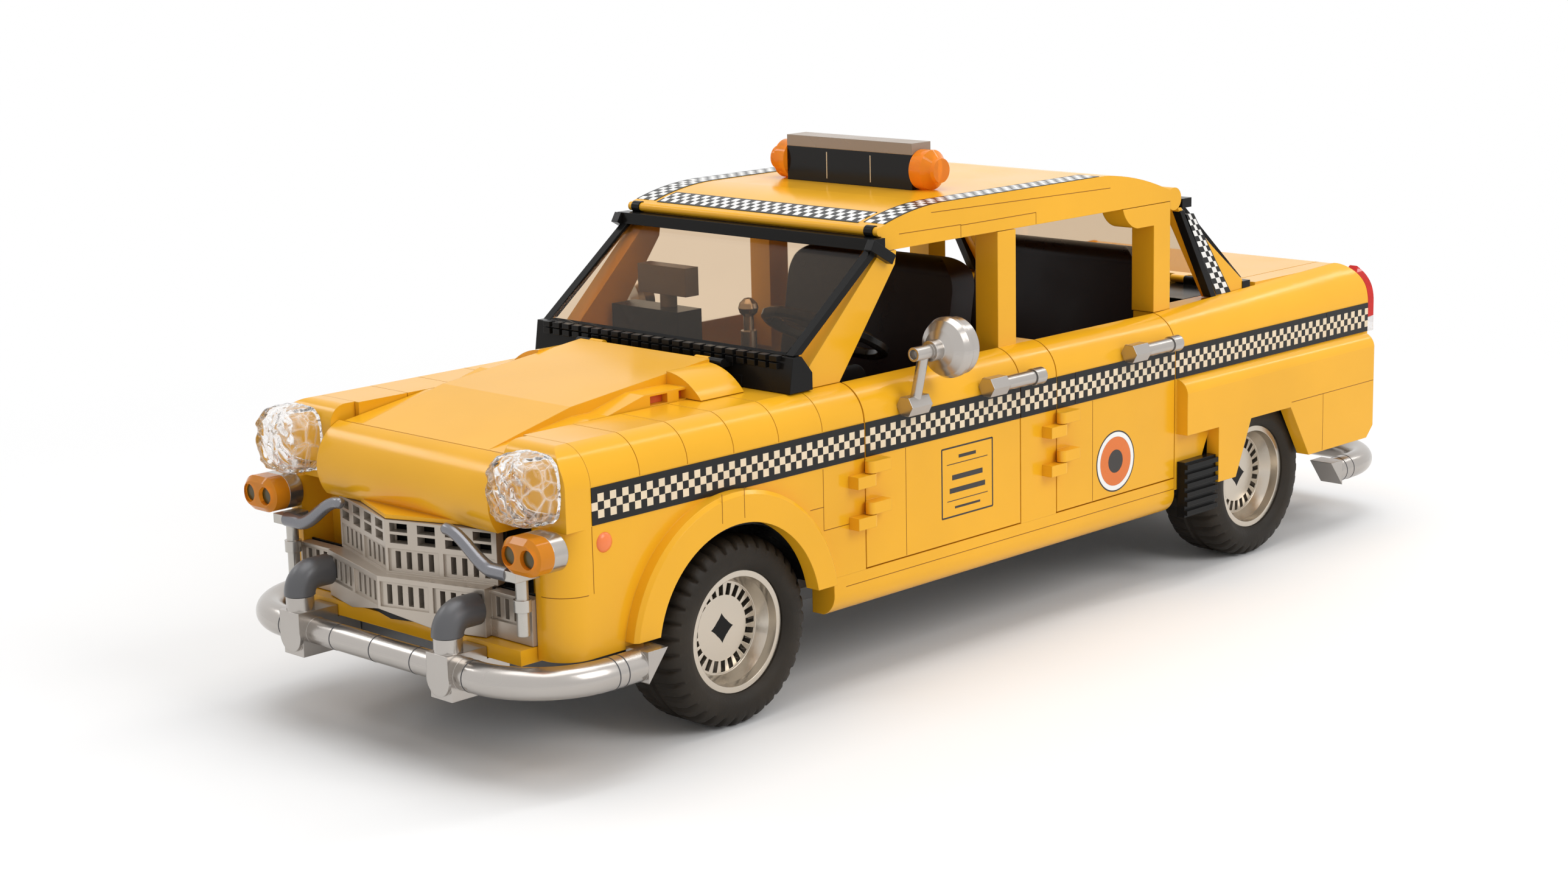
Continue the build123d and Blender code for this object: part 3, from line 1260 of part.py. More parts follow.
# Steering wheel: a ring of flat-sided section on three spokes, its column in the dashboard
WHEEL_Y = 3 * STUD
WHEEL_R = 18.0
WHEEL_RING = 3.0
WHEEL_TILT = 63.0
HUB_HALF = 1.2
SPOKE = 3.0
SPOKES = 3
COLUMN_R = 1.6
COLUMN = 14.0
wheel_station = dash_back + 3.6
wheel_z = DASH_TOP + 5.2
ring_edge = WHEEL_R - WHEEL_RING
steering = turned(
    (ring_edge, -WHEEL_RING / 4),
    (ring_edge, WHEEL_RING / 4),
    (ring_edge + WHEEL_RING / 3, WHEEL_RING / 2),
    (WHEEL_R - WHEEL_RING / 3, WHEEL_RING / 2),
    (WHEEL_R, WHEEL_RING / 4),
    (WHEEL_R, -WHEEL_RING / 4),
    (WHEEL_R - WHEEL_RING / 3, -WHEEL_RING / 2),
    (ring_edge + WHEEL_RING / 3, -WHEEL_RING / 2),
)
steering = Rot(X=90) * steering
steering += Cylinder(2 * COLUMN_R, 2 * HUB_HALF)
for spoke in range(SPOKES):
    turn = 90 + spoke * 360 / SPOKES
    spoke_bar = Pos((ring_edge + 0.5) / 2, 0, 0) * Box(ring_edge + 0.5, SPOKE, HUB_HALF)
    steering += Rot(Z=turn) * spoke_bar
steering += Cylinder(COLUMN_R, COLUMN, align=(Align.CENTER, Align.CENTER, Align.MAX))
steering = Pos(at(wheel_station), WHEEL_Y, wheel_z) * Rot(Y=WHEEL_TILT - 90) * steering
add("steering_wheel", steering - dash)

# Lever beside the steering wheel: a stepped stem and a ball turned with flat bands
LEVER_R = 2.2
LEVER_STEM_R = 1.4
LEVER_SLEEVE = 6.0
LEVER_LENGTH = 10.0
LEVER_BALL = 2.8
LEVER_UNDER = 2.0            # under the wheel's edge
lever_station = DASH_FRONT + 0.4 * DASH_DEPTH
lever_y = WHEEL_Y - WHEEL_R + LEVER_UNDER
ball_z = LEVER_LENGTH + 0.8 * LEVER_BALL
lever = turned(
    (0, 0),
    (LEVER_R, 0),
    (LEVER_R, LEVER_SLEEVE),
    (LEVER_STEM_R, LEVER_SLEEVE),
    (LEVER_STEM_R, LEVER_LENGTH),
    (0.85 * LEVER_BALL, ball_z - 0.5 * LEVER_BALL),
    (LEVER_BALL, ball_z),
    (0.85 * LEVER_BALL, ball_z + 0.5 * LEVER_BALL),
    (0.4 * LEVER_BALL, ball_z + 0.92 * LEVER_BALL),
    (0, ball_z + LEVER_BALL),
)
add("lever", Pos(at(lever_station), lever_y, DASH_TOP) * Rot(X=90) * lever)

# Meter: a box on a short neck, on the dashboard's pod
METER_Y = POD_Y + 3.0
METER_HALF = 9.6
METER_HEIGHT = STUD
METER_DEPTH = 5.0
NECK_R = 2.4
NECK = 3.6
pod_top = DASH_TOP + POD_HEIGHT
meter_station = DASH_FRONT + 4.0
meter = slab(
    meter_station,
    meter_station + METER_DEPTH,
    METER_Y - METER_HALF,
    METER_Y + METER_HALF,
    pod_top + NECK,
    pod_top + NECK + METER_HEIGHT,
)
meter += rod_z(meter_station + METER_DEPTH / 2, METER_Y, NECK_R, pod_top, pod_top + NECK)
add("meter", meter)

# Seats: benches with a raked back and rounded edges
SEAT_THICK = BRICK
# Seat name, station of the cushion's front, cushion length, height of the cushion, height of the back
SEATS = (
    ("front_seat", 128.0, 34.0, 22.0, 72.0),
    ("rear_seat", 208.0, 40.0, 22.0, 65.0),
)
SEAT_HALF = TUB_INNER - TUB_WALL - SEAM
SEAT_RAKE = 8.0
SEAT_ROUND = 4.0
for name, front, length, cushion, back in SEATS:
    cushion_z = DECK_Z + cushion
    back_z = DECK_Z + back
    seat_end = front + length
    top_end = seat_end + SEAT_RAKE
    edge = BACK_CORNER * SEAT_ROUND
    seat = along_y(
        side_face(
            (front, DECK_Z),
            (front, cushion_z - SEAT_ROUND),
            (front + edge, cushion_z - edge, front + SEAT_ROUND, cushion_z),
            (seat_end - SEAT_THICK, cushion_z),
            (top_end - SEAT_THICK, back_z - SEAT_THICK / 2),
            (top_end - SEAT_THICK / 2, back_z, top_end, back_z - SEAT_THICK / 2),
            (seat_end, cushion_z),
            (seat_end, DECK_Z),
        ),
        -SEAT_HALF,
        SEAT_HALF,
    )
    side_y = SEAT_HALF - BACK_CORNER * SEAT_THICK
    side_z = back_z - BACK_CORNER * SEAT_THICK
    corners = section(
        (-SEAT_HALF, DECK_Z),
        (SEAT_HALF, DECK_Z),
        (SEAT_HALF, back_z - SEAT_THICK),
        (side_y, side_z, SEAT_HALF - SEAT_THICK, back_z),
        (SEAT_THICK - SEAT_HALF, back_z),
        (-side_y, side_z, -SEAT_HALF, back_z - SEAT_THICK),
    )
    add(name, seat & along_x(corners, front, top_end))

# Wheels: cross-shaped axles; rims with a deep dish and a notched disc; tyres with bevelled shoulders
BORE_PLAY = 0.1
HUB_R = 4.4
RIM_WALL = 1.6
RIM_LIP = 2.4
RIM_FACE = TYRE_FACE - 2.0
RIM_DEPTH = TYRE_WIDTH - 4.0
DISH = 5.5
DISC = 2.4
NOTCH_R = RIM_R - 4.3
NOTCH_LENGTH = 3.0
NOTCH = 1.5
TYRE_BEAD = 2.0
TYRE_BEVEL = 2.6
cross = (Rectangle(2 * AXLE_R, AXLE_ARM) + Rectangle(AXLE_ARM, 2 * AXLE_R)) & Circle(AXLE_R)
disc_face = RIM_FACE - DISH
rim_back = RIM_FACE - RIM_DEPTH
barrel = RIM_R - RIM_WALL
bore = AXLE_R + BORE_PLAY
axle_half = disc_face - 0.4
rim = turned(
    (bore, disc_face),
    (NOTCH_R + 0.6, disc_face),
    (barrel - 0.4, RIM_FACE - RIM_LIP),
    (barrel, RIM_FACE),
    (RIM_R, RIM_FACE),
    (RIM_R, rim_back),
    (barrel, rim_back),
    (barrel, disc_face - DISC),
    (HUB_R, disc_face - DISC),
    (HUB_R, rim_back),
    (bore, rim_back),
)
notch = Pos(NOTCH_R - NOTCH_LENGTH / 2, disc_face - DISC / 2, 0) * Box(NOTCH_LENGTH, DISC, NOTCH)
rim -= [Rot(Y=index * 360 / RIM_TEETH) * notch for index in range(RIM_TEETH)]
seat_r = RIM_R + BORE_PLAY
tyre_back = TYRE_FACE - TYRE_WIDTH
tyre = turned(
    (seat_r, TYRE_FACE - TYRE_BEAD),
    (seat_r, tyre_back + TYRE_BEAD),
    (seat_r + TYRE_BEAD, tyre_back),
    (TYRE_R - TYRE_BEVEL, tyre_back),
    (TYRE_R, tyre_back + TYRE_BEVEL),
    (TYRE_R, TYRE_FACE - TYRE_BEVEL),
    (TYRE_R - TYRE_BEVEL, TYRE_FACE),
    (seat_r + TYRE_BEAD, TYRE_FACE),
)
for end, axle in (("front", FRONT_AXLE), ("rear", REAR_AXLE)):
    centre = Pos(at(axle), 0, AXLE_Z)
    axle_plane = Plane(origin=(at(axle), 0, AXLE_Z), z_dir=(0, 1, 0))
    add(end + "_axle", extrude(axle_plane * cross, axle_half, both=True))
    add_both(end + "_rims", centre * rim)
    add_both(end + "_tyres", centre * tyre)

os.makedirs("parts", exist_ok=True)
for name, solids in nodes.items():
    shape = solids[0] if len(solids) == 1 else Compound(children=solids)
    export_step(shape, f"parts/{name}.step")
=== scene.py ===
import bmesh
import bpy
import numpy as np
from mathutils import Matrix, Vector


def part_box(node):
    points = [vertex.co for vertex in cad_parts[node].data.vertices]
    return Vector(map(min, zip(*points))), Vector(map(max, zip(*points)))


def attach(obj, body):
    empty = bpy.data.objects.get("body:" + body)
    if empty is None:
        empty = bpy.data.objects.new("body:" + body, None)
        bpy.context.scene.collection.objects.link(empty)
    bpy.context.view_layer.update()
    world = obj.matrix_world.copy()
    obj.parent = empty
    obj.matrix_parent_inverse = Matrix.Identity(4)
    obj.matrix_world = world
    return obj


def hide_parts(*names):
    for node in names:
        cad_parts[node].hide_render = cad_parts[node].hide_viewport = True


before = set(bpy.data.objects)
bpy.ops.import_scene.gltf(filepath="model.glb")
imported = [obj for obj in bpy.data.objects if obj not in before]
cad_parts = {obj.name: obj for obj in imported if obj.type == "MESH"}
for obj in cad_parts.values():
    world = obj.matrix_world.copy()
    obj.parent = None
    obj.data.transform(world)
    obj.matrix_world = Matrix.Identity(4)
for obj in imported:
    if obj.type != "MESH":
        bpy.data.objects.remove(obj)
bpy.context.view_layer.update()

# Chassis and wheel tubs: the toy's flat floor, its two long beams and the half-round covers over the
# wheels. Moulded plastic bricks pressed together, so they show a faint moulding grain and soft edges.
MM = 0.001
CHASSIS_GREY = (0.045, 0.047, 0.05)
BRICK_BLACK = (0.0085, 0.0082, 0.008)
EDGE_ROUND = 0.25 * MM
EDGE_SAMPLES = 6
CLOUD_DETAIL = 3.0
CLOUD_SPAN = (0.3, 0.7)
DRIFT = (0.93, 1.05)
DRIFT_SCALE = 18.0
HANDLING = (0.8, 1.3)
HANDLING_SCALE = 55.0
GRAIN_SCALE = 900.0
GRAIN_DEPTH = 0.004 * MM


def wire(tree, source, target):
    """Joins an output socket to an input socket."""
    tree.links.new(source, target)


def math_node(tree, operation, first, second=0.0):
    """Math node whose inputs are sockets or plain numbers; gives its output socket."""
    node = tree.nodes.new("ShaderNodeMath")
    node.operation = operation
    for socket, value in zip(node.inputs, (first, second)):
        if isinstance(value, bpy.types.NodeSocket):
            wire(tree, value, socket)
        else:
            socket.default_value = value
    return node.outputs[0]


def cloudy(tree, scale, low, high):
    """Noise on the object's own place, spread over a range of values."""
    place = tree.nodes.new("ShaderNodeTexCoord")
    noise = tree.nodes.new("ShaderNodeTexNoise")
    noise.inputs["Scale"].default_value = scale
    noise.inputs["Detail"].default_value = CLOUD_DETAIL
    wire(tree, place.outputs["Object"], noise.inputs["Vector"])
    spread = tree.nodes.new("ShaderNodeMapRange")
    spread.inputs["From Min"].default_value = CLOUD_SPAN[0]
    spread.inputs["From Max"].default_value = CLOUD_SPAN[1]
    spread.inputs["To Min"].default_value = low
    spread.inputs["To Max"].default_value = high
    wire(tree, noise.outputs["Fac"], spread.inputs["Value"])
    return spread.outputs["Result"]


def blend(tree, first, second, factor):
    """Mix of two plain colours by a factor socket."""
    mix = tree.nodes.new("ShaderNodeMix")
    mix.data_type = "RGBA"
    mix.inputs["A"].default_value = tuple(first) + (1.0,)
    mix.inputs["B"].default_value = tuple(second) + (1.0,)
    wire(tree, factor, mix.inputs["Factor"])
    return mix.outputs["Result"]


def tint(tree, colour, low, high, scale):
    """Colour whose brightness drifts with a soft cloud, as in moulded plastic."""
    dark = [low * part for part in colour]
    light = [high * part for part in colour]
    return blend(tree, dark, light, cloudy(tree, scale, 0.0, 1.0))


def grain(tree, scale, depth):
    """Normal of the surface with rounded brick edges and a fine moulding grain."""
    edge = tree.nodes.new("ShaderNodeBevel")
    edge.samples = EDGE_SAMPLES
    edge.inputs["Radius"].default_value = EDGE_ROUND
    bump = tree.nodes.new("ShaderNodeBump")
    bump.inputs["Strength"].default_value = 1.0
    bump.inputs["Distance"].default_value = depth
    wire(tree, cloudy(tree, scale, 0.0, 1.0), bump.inputs["Height"])
    wire(tree, edge.outputs["Normal"], bump.inputs["Normal"])
    return bump.outputs["Normal"]


def new_material(name):
    """Empty node material and its shader."""
    material = bpy.data.materials.new(name)
    material.use_nodes = True
    return material, material.node_tree, material.node_tree.nodes["Principled BSDF"]


def moulded(name, colour, rough, metal=0.0, gloss=0.5):
    """Moulded plastic: colour drifting a little, handling marks in the gloss, a fine grain."""
    material, tree, shader = new_material(name)
    shader.inputs["Metallic"].default_value = metal
    shader.inputs["Specular IOR Level"].default_value = gloss
    wire(tree, tint(tree, colour, *DRIFT, DRIFT_SCALE), shader.inputs["Base Color"])
    polished, dulled = (share * rough for share in HANDLING)
    wire(tree, cloudy(tree, HANDLING_SCALE, polished, dulled), shader.inputs["Roughness"])
    wire(tree, grain(tree, GRAIN_SCALE, GRAIN_DEPTH), shader.inputs["Normal"])
    return material


def paint(material, *nodes):
    """Gives CAD nodes a finish."""
    for node in nodes:
        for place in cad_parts[node].material_slots:
            place.material = material


grey_brick = moulded("grey_brick", CHASSIS_GREY, 0.3)
black_brick = moulded("black_brick", BRICK_BLACK, 0.22, gloss=0.12)
paint(grey_brick, "chassis", "engine")
paint(black_brick, "wheel_tubs")

# Axles and rims: each rim is one moulding in a satin metallic plastic, with a broad lip, a deep dish and a
# ring of teeth round a cross-shaped hole. The rims are pushed onto the ends of the black axles.
RIM_SILVER = (0.56, 0.505, 0.43)
rim_plastic = moulded("rim_plastic", RIM_SILVER, 0.2, 0.92)
paint(rim_plastic, "front_rims", "rear_rims")
paint(black_brick, "front_axle", "rear_axle")

# Tyres: soft rubber rings stretched over the rims, smooth on the side wall, with chunky lugs on
# both edges of the tread and a groove round its middle.
TYRE_BROWN = (0.018, 0.0135, 0.009)
TYRE_WIDTH = 20.0 * MM
BEAD_R = 16.0 * MM
LUGS = 36
LUG_DEPTH = 1.1 * MM
LUG_SAMPLES = 10
LUG_STEEP = 5.0
LUG_OFFSET = 2.6
LUG_EDGE = 4.0 * MM
LUG_REACH = 2.0 * MM
# Height above the bead and depth behind the side wall, in millimetres
BEAD_ROUND = ((0.0, 1.6), (1.0, 0.5), (2.2, 0.1))
# Drop below the tread and depth behind the side wall, in millimetres, to the groove in the middle
TREAD_ROUND = (
    (6.2, 0.0), (4.6, 0.05), (2.9, 0.35), (1.5, 1.1), (0.5, 2.3),
    (0.0, 4.0), (0.0, 8.6), (0.7, 9.0), (0.7, 10.0),
)
RUBBER_GLOSS = 0.25
DUST = (0.75, 1.4)
DUST_SCALE = 60.0
RUBBER_ROUGH = (0.48, 0.66)
RUBBER_SCALE = 90.0
SKIN_SCALE = 1600.0
SKIN_DEPTH = 0.02 * MM
SHARP_ANGLE = np.radians(40)
WELD = 0.002 * MM


def surface(points, close_rows=False, close_columns=False):
    """Points, quads and no map of a grid, joined end to end along rows or columns where asked."""
    rows, columns = points.shape[:2]
    index = np.arange(rows * columns).reshape(rows, columns)
    if close_rows:
        index = np.vstack([index, index[:1]])
    if close_columns:
        index = np.hstack([index, index[:, :1]])
    quads = np.stack([index[:-1, :-1], index[1:, :-1], index[1:, 1:], index[:-1, 1:]], axis=-1)
    return points.reshape(-1, 3), quads.reshape(-1, 4), np.zeros((rows * columns, 2))


def piece(name, parts, material, body, slot, *nodes):
    """One object from parts made of points, quads and map: welded, faced outwards, with sharp edges kept.

    It gets its finish, the body that it rides and the nodes that it stands for. Its slot is not used.
    """
    starts = np.cumsum([0] + [len(part[0]) for part in parts])
    quads = np.concatenate([part[1] + start for part, start in zip(parts, starts)])
    places = np.concatenate([part[2] for part in parts])
    mesh = bpy.data.meshes.new(name)
    mesh.from_pydata(np.concatenate([part[0] for part in parts]), [], quads.tolist())
    corners = np.empty(len(mesh.loops), dtype=int)
    mesh.loops.foreach_get("vertex_index", corners)
    mesh.uv_layers.new(name="print").data.foreach_set("uv", places[corners].ravel())
    welded = bmesh.new()
    welded.from_mesh(mesh)
    bmesh.ops.remove_doubles(welded, verts=welded.verts, dist=WELD)
    bmesh.ops.recalc_face_normals(welded, faces=welded.faces)
    welded.to_mesh(mesh)
    welded.free()
    mesh.polygons.foreach_set("use_smooth", np.ones(len(mesh.polygons), dtype=bool))
    mesh.set_sharp_from_angle(angle=SHARP_ANGLE)
    mesh.materials.append(material)
    made = bpy.data.objects.new(name, mesh)
    bpy.context.collection.objects.link(made)
    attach(made, body)
    if nodes:
        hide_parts(*nodes)
    return made


def tyre_ring(node, side):
    """Ring turned about the axle: a closed profile, with the edges of the tread cut between lugs.

    The profile is a rounded rectangle between bead and tread; a lug stands where a square wave round
    the tyre is high, and the wave on one edge is half a lug out of step with the other.
    """
    low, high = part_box(node)
    outer_r = (high[2] - low[2]) / 2
    centre_x = (low[0] + high[0]) / 2
    turn = np.linspace(0, 2 * np.pi, LUGS * LUG_SAMPLES, endpoint=False)
    bead = (BEAD_R, 0.0) + np.array(BEAD_ROUND) * MM
    tread = (outer_r, 0.0) + np.array(TREAD_ROUND) * (-MM, MM)
    half = np.vstack([bead, tread])
    back = half[::-1][1:] * (1, -1) + (0, TYRE_WIDTH)
    profile = np.vstack([half, back])
    depth = profile[:, 1]
    shoulder = (abs(depth - TYRE_WIDTH / 2) > LUG_EDGE) & (profile[:, 0] > outer_r - LUG_REACH)
    phase = np.where(depth < TYRE_WIDTH / 2, 0.0, 0.5)
    wave = np.sin(LUGS * turn[:, None] + 2 * np.pi * phase[None, :])
    cut = np.clip(-LUG_STEEP * wave - LUG_OFFSET, 0, 1) * shoulder
    radius = profile[None, :, 0] - LUG_DEPTH * cut
    x = centre_x + radius * np.cos(turn)[:, None]
    y = side * (high[1] - depth[None, :])
    z = outer_r + radius * np.sin(turn)[:, None]
    return surface(np.stack(np.broadcast_arrays(x, y, z), axis=-1), True, True)


def rubber(name, colour):
    """Matte rubber with a dusty drift of colour and a fine pebbled skin."""
    material, tree, shader = new_material(name)
    shader.inputs["Specular IOR Level"].default_value = RUBBER_GLOSS
    wire(tree, tint(tree, colour, *DUST, DUST_SCALE), shader.inputs["Base Color"])
    wire(tree, cloudy(tree, RUBBER_SCALE, *RUBBER_ROUGH), shader.inputs["Roughness"])
    wire(tree, grain(tree, SKIN_SCALE, SKIN_DEPTH), shader.inputs["Normal"])
    return material


tyre_rubber = rubber("tyre_rubber", TYRE_BROWN)
for end in ("front", "rear"):
    node = end + "_tyres"
    rings = [tyre_ring(node, side) for side in (1, -1)]
    piece(end + "_lugged_tyres", rings, tyre_rubber, end + "_wheels", "tyre_rubber", node)

# Axle holes: each rim's hub has a four-pointed hole that takes the cross-shaped axle. The axle's black
# plastic end, pushed in from behind, fills the hole and shows as a dark star.
STAR_R = 3.9
STAR_POWER = 0.85
STAR_FACE = 47.55
STAR_FLOOR = 47.0
STAR_SIDES = 96


def star(node, side):
    """Closed flat star: its radius follows a sum of two powers below one, so that its sides bow inwards."""
    low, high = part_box(node)
    turn = np.linspace(0, 2 * np.pi, STAR_SIDES, endpoint=False)[None, :]
    reach = (abs(np.cos(turn)) ** STAR_POWER + abs(np.sin(turn)) ** STAR_POWER) ** (-1 / STAR_POWER)
    radius = STAR_R * MM * np.array([[0.0], [1.0], [1.0], [0.0]]) * reach
    x = (low[0] + high[0]) / 2 + radius * np.cos(turn)
    y = side * MM * np.array([[STAR_FACE], [STAR_FACE], [STAR_FLOOR], [STAR_FLOOR]])
    z = (low[2] + high[2]) / 2 + radius * np.sin(turn)
    return surface(np.stack(np.broadcast_arrays(x, y, z), axis=-1), False, True)


for end in ("front", "rear"):
    stars = [star(end + "_tyres", side) for side in (1, -1)]
    piece(end + "_axle_stars", stars, black_brick, end + "_wheels", "black_plastic")

# Inside the cabin: black dashboard, shelf and steering wheel, a bright lever, a grey meter and brown
# benches. All are moulded bricks pressed onto the floor.
SEAT_BROWN = (0.0085, 0.0022, 0.0018)
METER_GREY = (0.16, 0.13, 0.11)
seat_brick = moulded("seat_brick", SEAT_BROWN, 0.3, gloss=0.2)
meter_brick = moulded("meter_brick", METER_GREY, 0.28)
paint(seat_brick, "front_seat", "rear_seat")
paint(meter_brick, "meter")
paint(black_brick, "dashboard", "steering_wheel", "rear_shelf")

# Body bricks: fenders, nose, hood, posts, roof, doors and quarters, all of one warm glossy yellow plastic,
# pressed together row on row on the chassis.
BODY_YELLOW = (0.825, 0.41, 0.016)
yellow_brick = moulded("yellow_brick", BODY_YELLOW, 0.17, gloss=0.28)
paint(yellow_brick, "front_fender_left", "front_fender_right", "nose_panel", "a_posts", "b_posts", "c_posts")
paint(yellow_brick, "roof", "sills", "door_hinges", "rear_quarter_left", "rear_quarter_right", "tail_panel")
paint(yellow_brick, "sail_posts", "hood", "trunk_lid", "front_door_left", "front_door_right")
paint(yellow_brick, "rear_door_left", "rear_door_right")

# Joint lines: the thin dark gaps where neighbouring side bricks meet, on fenders, doors, sills, skirts and
# roof rails. Each is a hair-fine strip in the shade of a gap in yellow plastic.
GAP_BROWN = (0.3, 0.11, 0.006)
GAP_HALF = 0.09
GAP_PROUD = 0.03
FENDER_END = 95.8
SIDE = 56.0
ARCH_SIDE = 60.0
ROOF_SIDE = 48.0
stripe_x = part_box("front_fender_left")[0][0] + FENDER_END * MM
# Body, half width, first station and height, last station and height of each line, in millimetres
GAPS = (
    ("body", SIDE, 0.0, 46.0, 0.0, 62.4),
    ("body", SIDE, 80.0, 45.9, 80.0, 62.2),
    ("body", SIDE, 75.0, 52.2, 80.0, 52.2),
    ("body", SIDE, 80.0, 45.9, 95.8, 45.9),
    ("body", SIDE, 88.0, 29.3, 231.8, 29.3),
    ("body", ARCH_SIDE, 39.5, 56.2, 39.5, 63.6),
    ("body", ARCH_SIDE, 47.3, 56.2, 47.3, 64.0),
    ("body", ARCH_SIDE, 287.5, 47.3, 333.8, 47.3),
    ("body", ARCH_SIDE, 305.0, 29.2, 305.0, 47.3),
    ("body", ROOF_SIDE, 132.5, 122.3, 211.0, 120.9),
    ("body", ROOF_SIDE, 119.5, 118.0, 144.7, 117.7),
    ("body", ROOF_SIDE, 144.7, 114.3, 144.7, 117.7),
    ("body", ROOF_SIDE, 144.7, 117.5, 177.0, 117.5),
    ("body", ROOF_SIDE, 177.0, 114.3, 177.0, 117.5),
    ("front_door", SIDE, 112.0, 33.0, 112.0, 62.4),
    ("rear_door", SIDE, 192.5, 33.0, 192.5, 62.4),
)


def spot(station, y, z):
    """Points in metres from stations along the cab, widths and heights in millimetres."""
    station, y, z = np.broadcast_arrays(station, y, z)
    return np.stack([stripe_x - station * MM, y * MM, z * MM], axis=-1)


def plate(front, back, places=None):
    """Closed plate between two like grids of points: two faces of quads and a rim of quads round them."""
    rows, columns = front.shape[:2]
    index = np.arange(rows * columns).reshape(rows, columns)
    faces = np.stack([index[:-1, :-1], index[1:, :-1], index[1:, 1:], index[:-1, 1:]], axis=-1).reshape(-1, 4)
    rim = np.concatenate([index[:-1, 0], index[-1, :-1], index[:0:-1, -1], index[0, :0:-1]])
    ahead = np.roll(rim, -1)
    behind = rows * columns
    walls = np.stack([ahead, rim, rim + behind, ahead + behind], axis=-1)
    quads = np.concatenate([faces, faces[:, ::-1] + behind, walls])
    points = np.concatenate([front.reshape(-1, 3), back.reshape(-1, 3)])
    if places is None:
        places = np.zeros((rows, columns, 2))
    places = places.reshape(-1, 2)
    return points, quads, np.concatenate([places, places])


def side_plate(side, corners, inner, outer, places=None):
    """Plate on the cab's side from a grid of (station, height) corners, between two widths."""
    station, z = np.moveaxis(np.asarray(corners, dtype=float), -1, 0)
    return plate(spot(station, side * outer, z), spot(station, side * inner, z), places)


def line_corners(s0, z0, s1, z1, half):
    """Corners of a straight line of a given half width: both ends, moved to each side across the line."""
    run = np.array([s1 - s0, z1 - z0])
    across = half * np.array([-run[1], run[0]]) / np.linalg.norm(run)
    ends = np.array([[s0, z0], [s1, z1]])
    return np.stack([ends - across, ends + across])


def bodies_of(body):
    """Side and full name of a body: the main body on both sides, a door on its own side."""
    names = {1: body, -1: body} if body == "body" else {1: body + "_left", -1: body + "_right"}
    return names.items()


gap_brown = moulded("gap_brown", GAP_BROWN, 0.5, gloss=0.2)
gap_lines = {}
for body, y, *ends in GAPS:
    for side, rider in bodies_of(body):
        line = side_plate(side, line_corners(*ends, GAP_HALF), y - GAP_PROUD, y + GAP_PROUD)
        gap_lines.setdefault(rider, []).append(line)
# The line that runs round each front corner at one height: station and width of the corner's round
CORNER_AT = (-1.7, 48.0)
CORNER_R = 8.0
CORNER_Z = 45.9
CORNER_SAMPLES = 24
for side in (1, -1):
    turn = np.linspace(0, np.pi / 2, CORNER_SAMPLES)[:, None]
    z = CORNER_Z + GAP_HALF * np.array([[-1.0, 1.0]])
    shells = [
        spot(CORNER_AT[0] - radius * np.cos(turn), side * (CORNER_AT[1] + radius * np.sin(turn)), z)
        for radius in (CORNER_R + GAP_PROUD, CORNER_R - GAP_PROUD)
    ]
    gap_lines["body"].append(plate(*shells))
for rider, lines in gap_lines.items():
    piece("joint_lines_" + rider, lines, gap_brown, rider, "yellow_plastic")

# Hood vents: two small openings on each side of the hood's raised middle. An orange plastic brick, pressed
# in behind each of them, shows through.
VENT_ORANGE = (0.6, 0.1, 0.018)
VENT_BACK = 30.0
VENT_PROUD = 0.1
# First and last station, foot and top of each opening
VENTS = ((42.6, 48.4, 81.9, 84.1), (52.6, 58.4, 81.9, 84.1))


def upright(s0, s1, z0, z1):
    """Corners of an upright rectangle between two stations and two heights."""
    return np.stack(np.meshgrid((s0, s1), (z0, z1), indexing="ij"), axis=-1)


vent_orange = moulded("vent_orange", VENT_ORANGE, 0.35)
vent_backs = []
for opening in VENTS:
    for side in (1, -1):
        back = side_plate(side, upright(*opening), VENT_BACK - VENT_PROUD, VENT_BACK + VENT_PROUD)
        vent_backs.append(back)
piece("vent_backs", vent_backs, vent_orange, "hood", "yellow_plastic")

# Checkered stripe: printed black tiles with three rows of cream checks, clipped along both sides from the
# front fender to the tail, and split where the doors open.
CREAM = (0.8, 0.66, 0.47)
CHECK = 2.0
CHECK_FOOT = 64.1
CHECK_ROWS = 3
STRIPE_FOOT = 62.6
STRIPE_TOP = 71.8
STRIPE_PROUD = 0.2
STRIPE_SUNK = 0.1
TILE_GLOSS = 0.25
TILE_ROUGH = (0.2, 0.32)
INK_WEAR = (0.9, 1.0)
INK_SCALE = 300.0
# Body, first and last station of each tile
STRIPE_TILES = (
    ("body", 0.1, 95.7),
    ("front_door", 96.3, 159.7),
    ("body", 160.1, 175.9),
    ("rear_door", 176.3, 184.1),
    ("rear_door", 184.3, 231.7),
    ("body", 232.3, 311.9),
    ("body", 312.1, 335.8),
)


def checks(name, light):
    """Checks on black plastic: squares of the map's whole numbers, light only from row zero to row three."""
    material, tree, shader = new_material(name)
    place = tree.nodes.new("ShaderNodeUVMap")
    place.uv_map = "print"
    squares = tree.nodes.new("ShaderNodeTexChecker")
    squares.inputs["Scale"].default_value = 1.0
    wire(tree, place.outputs["UV"], squares.inputs["Vector"])
    split = tree.nodes.new("ShaderNodeSeparateXYZ")
    wire(tree, place.outputs["UV"], split.inputs["Vector"])
    off_middle = math_node(tree, "ABSOLUTE", math_node(tree, "SUBTRACT", split.outputs["Y"], CHECK_ROWS / 2))
    inside = math_node(tree, "LESS_THAN", off_middle, CHECK_ROWS / 2)
    ink = math_node(tree, "MULTIPLY", squares.outputs["Fac"], inside)
    worn = math_node(tree, "MULTIPLY", ink, cloudy(tree, INK_SCALE, *INK_WEAR))
    shader.inputs["Specular IOR Level"].default_value = TILE_GLOSS
    wire(tree, blend(tree, BRICK_BLACK, light, worn), shader.inputs["Base Color"])
    wire(tree, cloudy(tree, HANDLING_SCALE, *TILE_ROUGH), shader.inputs["Roughness"])
    return material


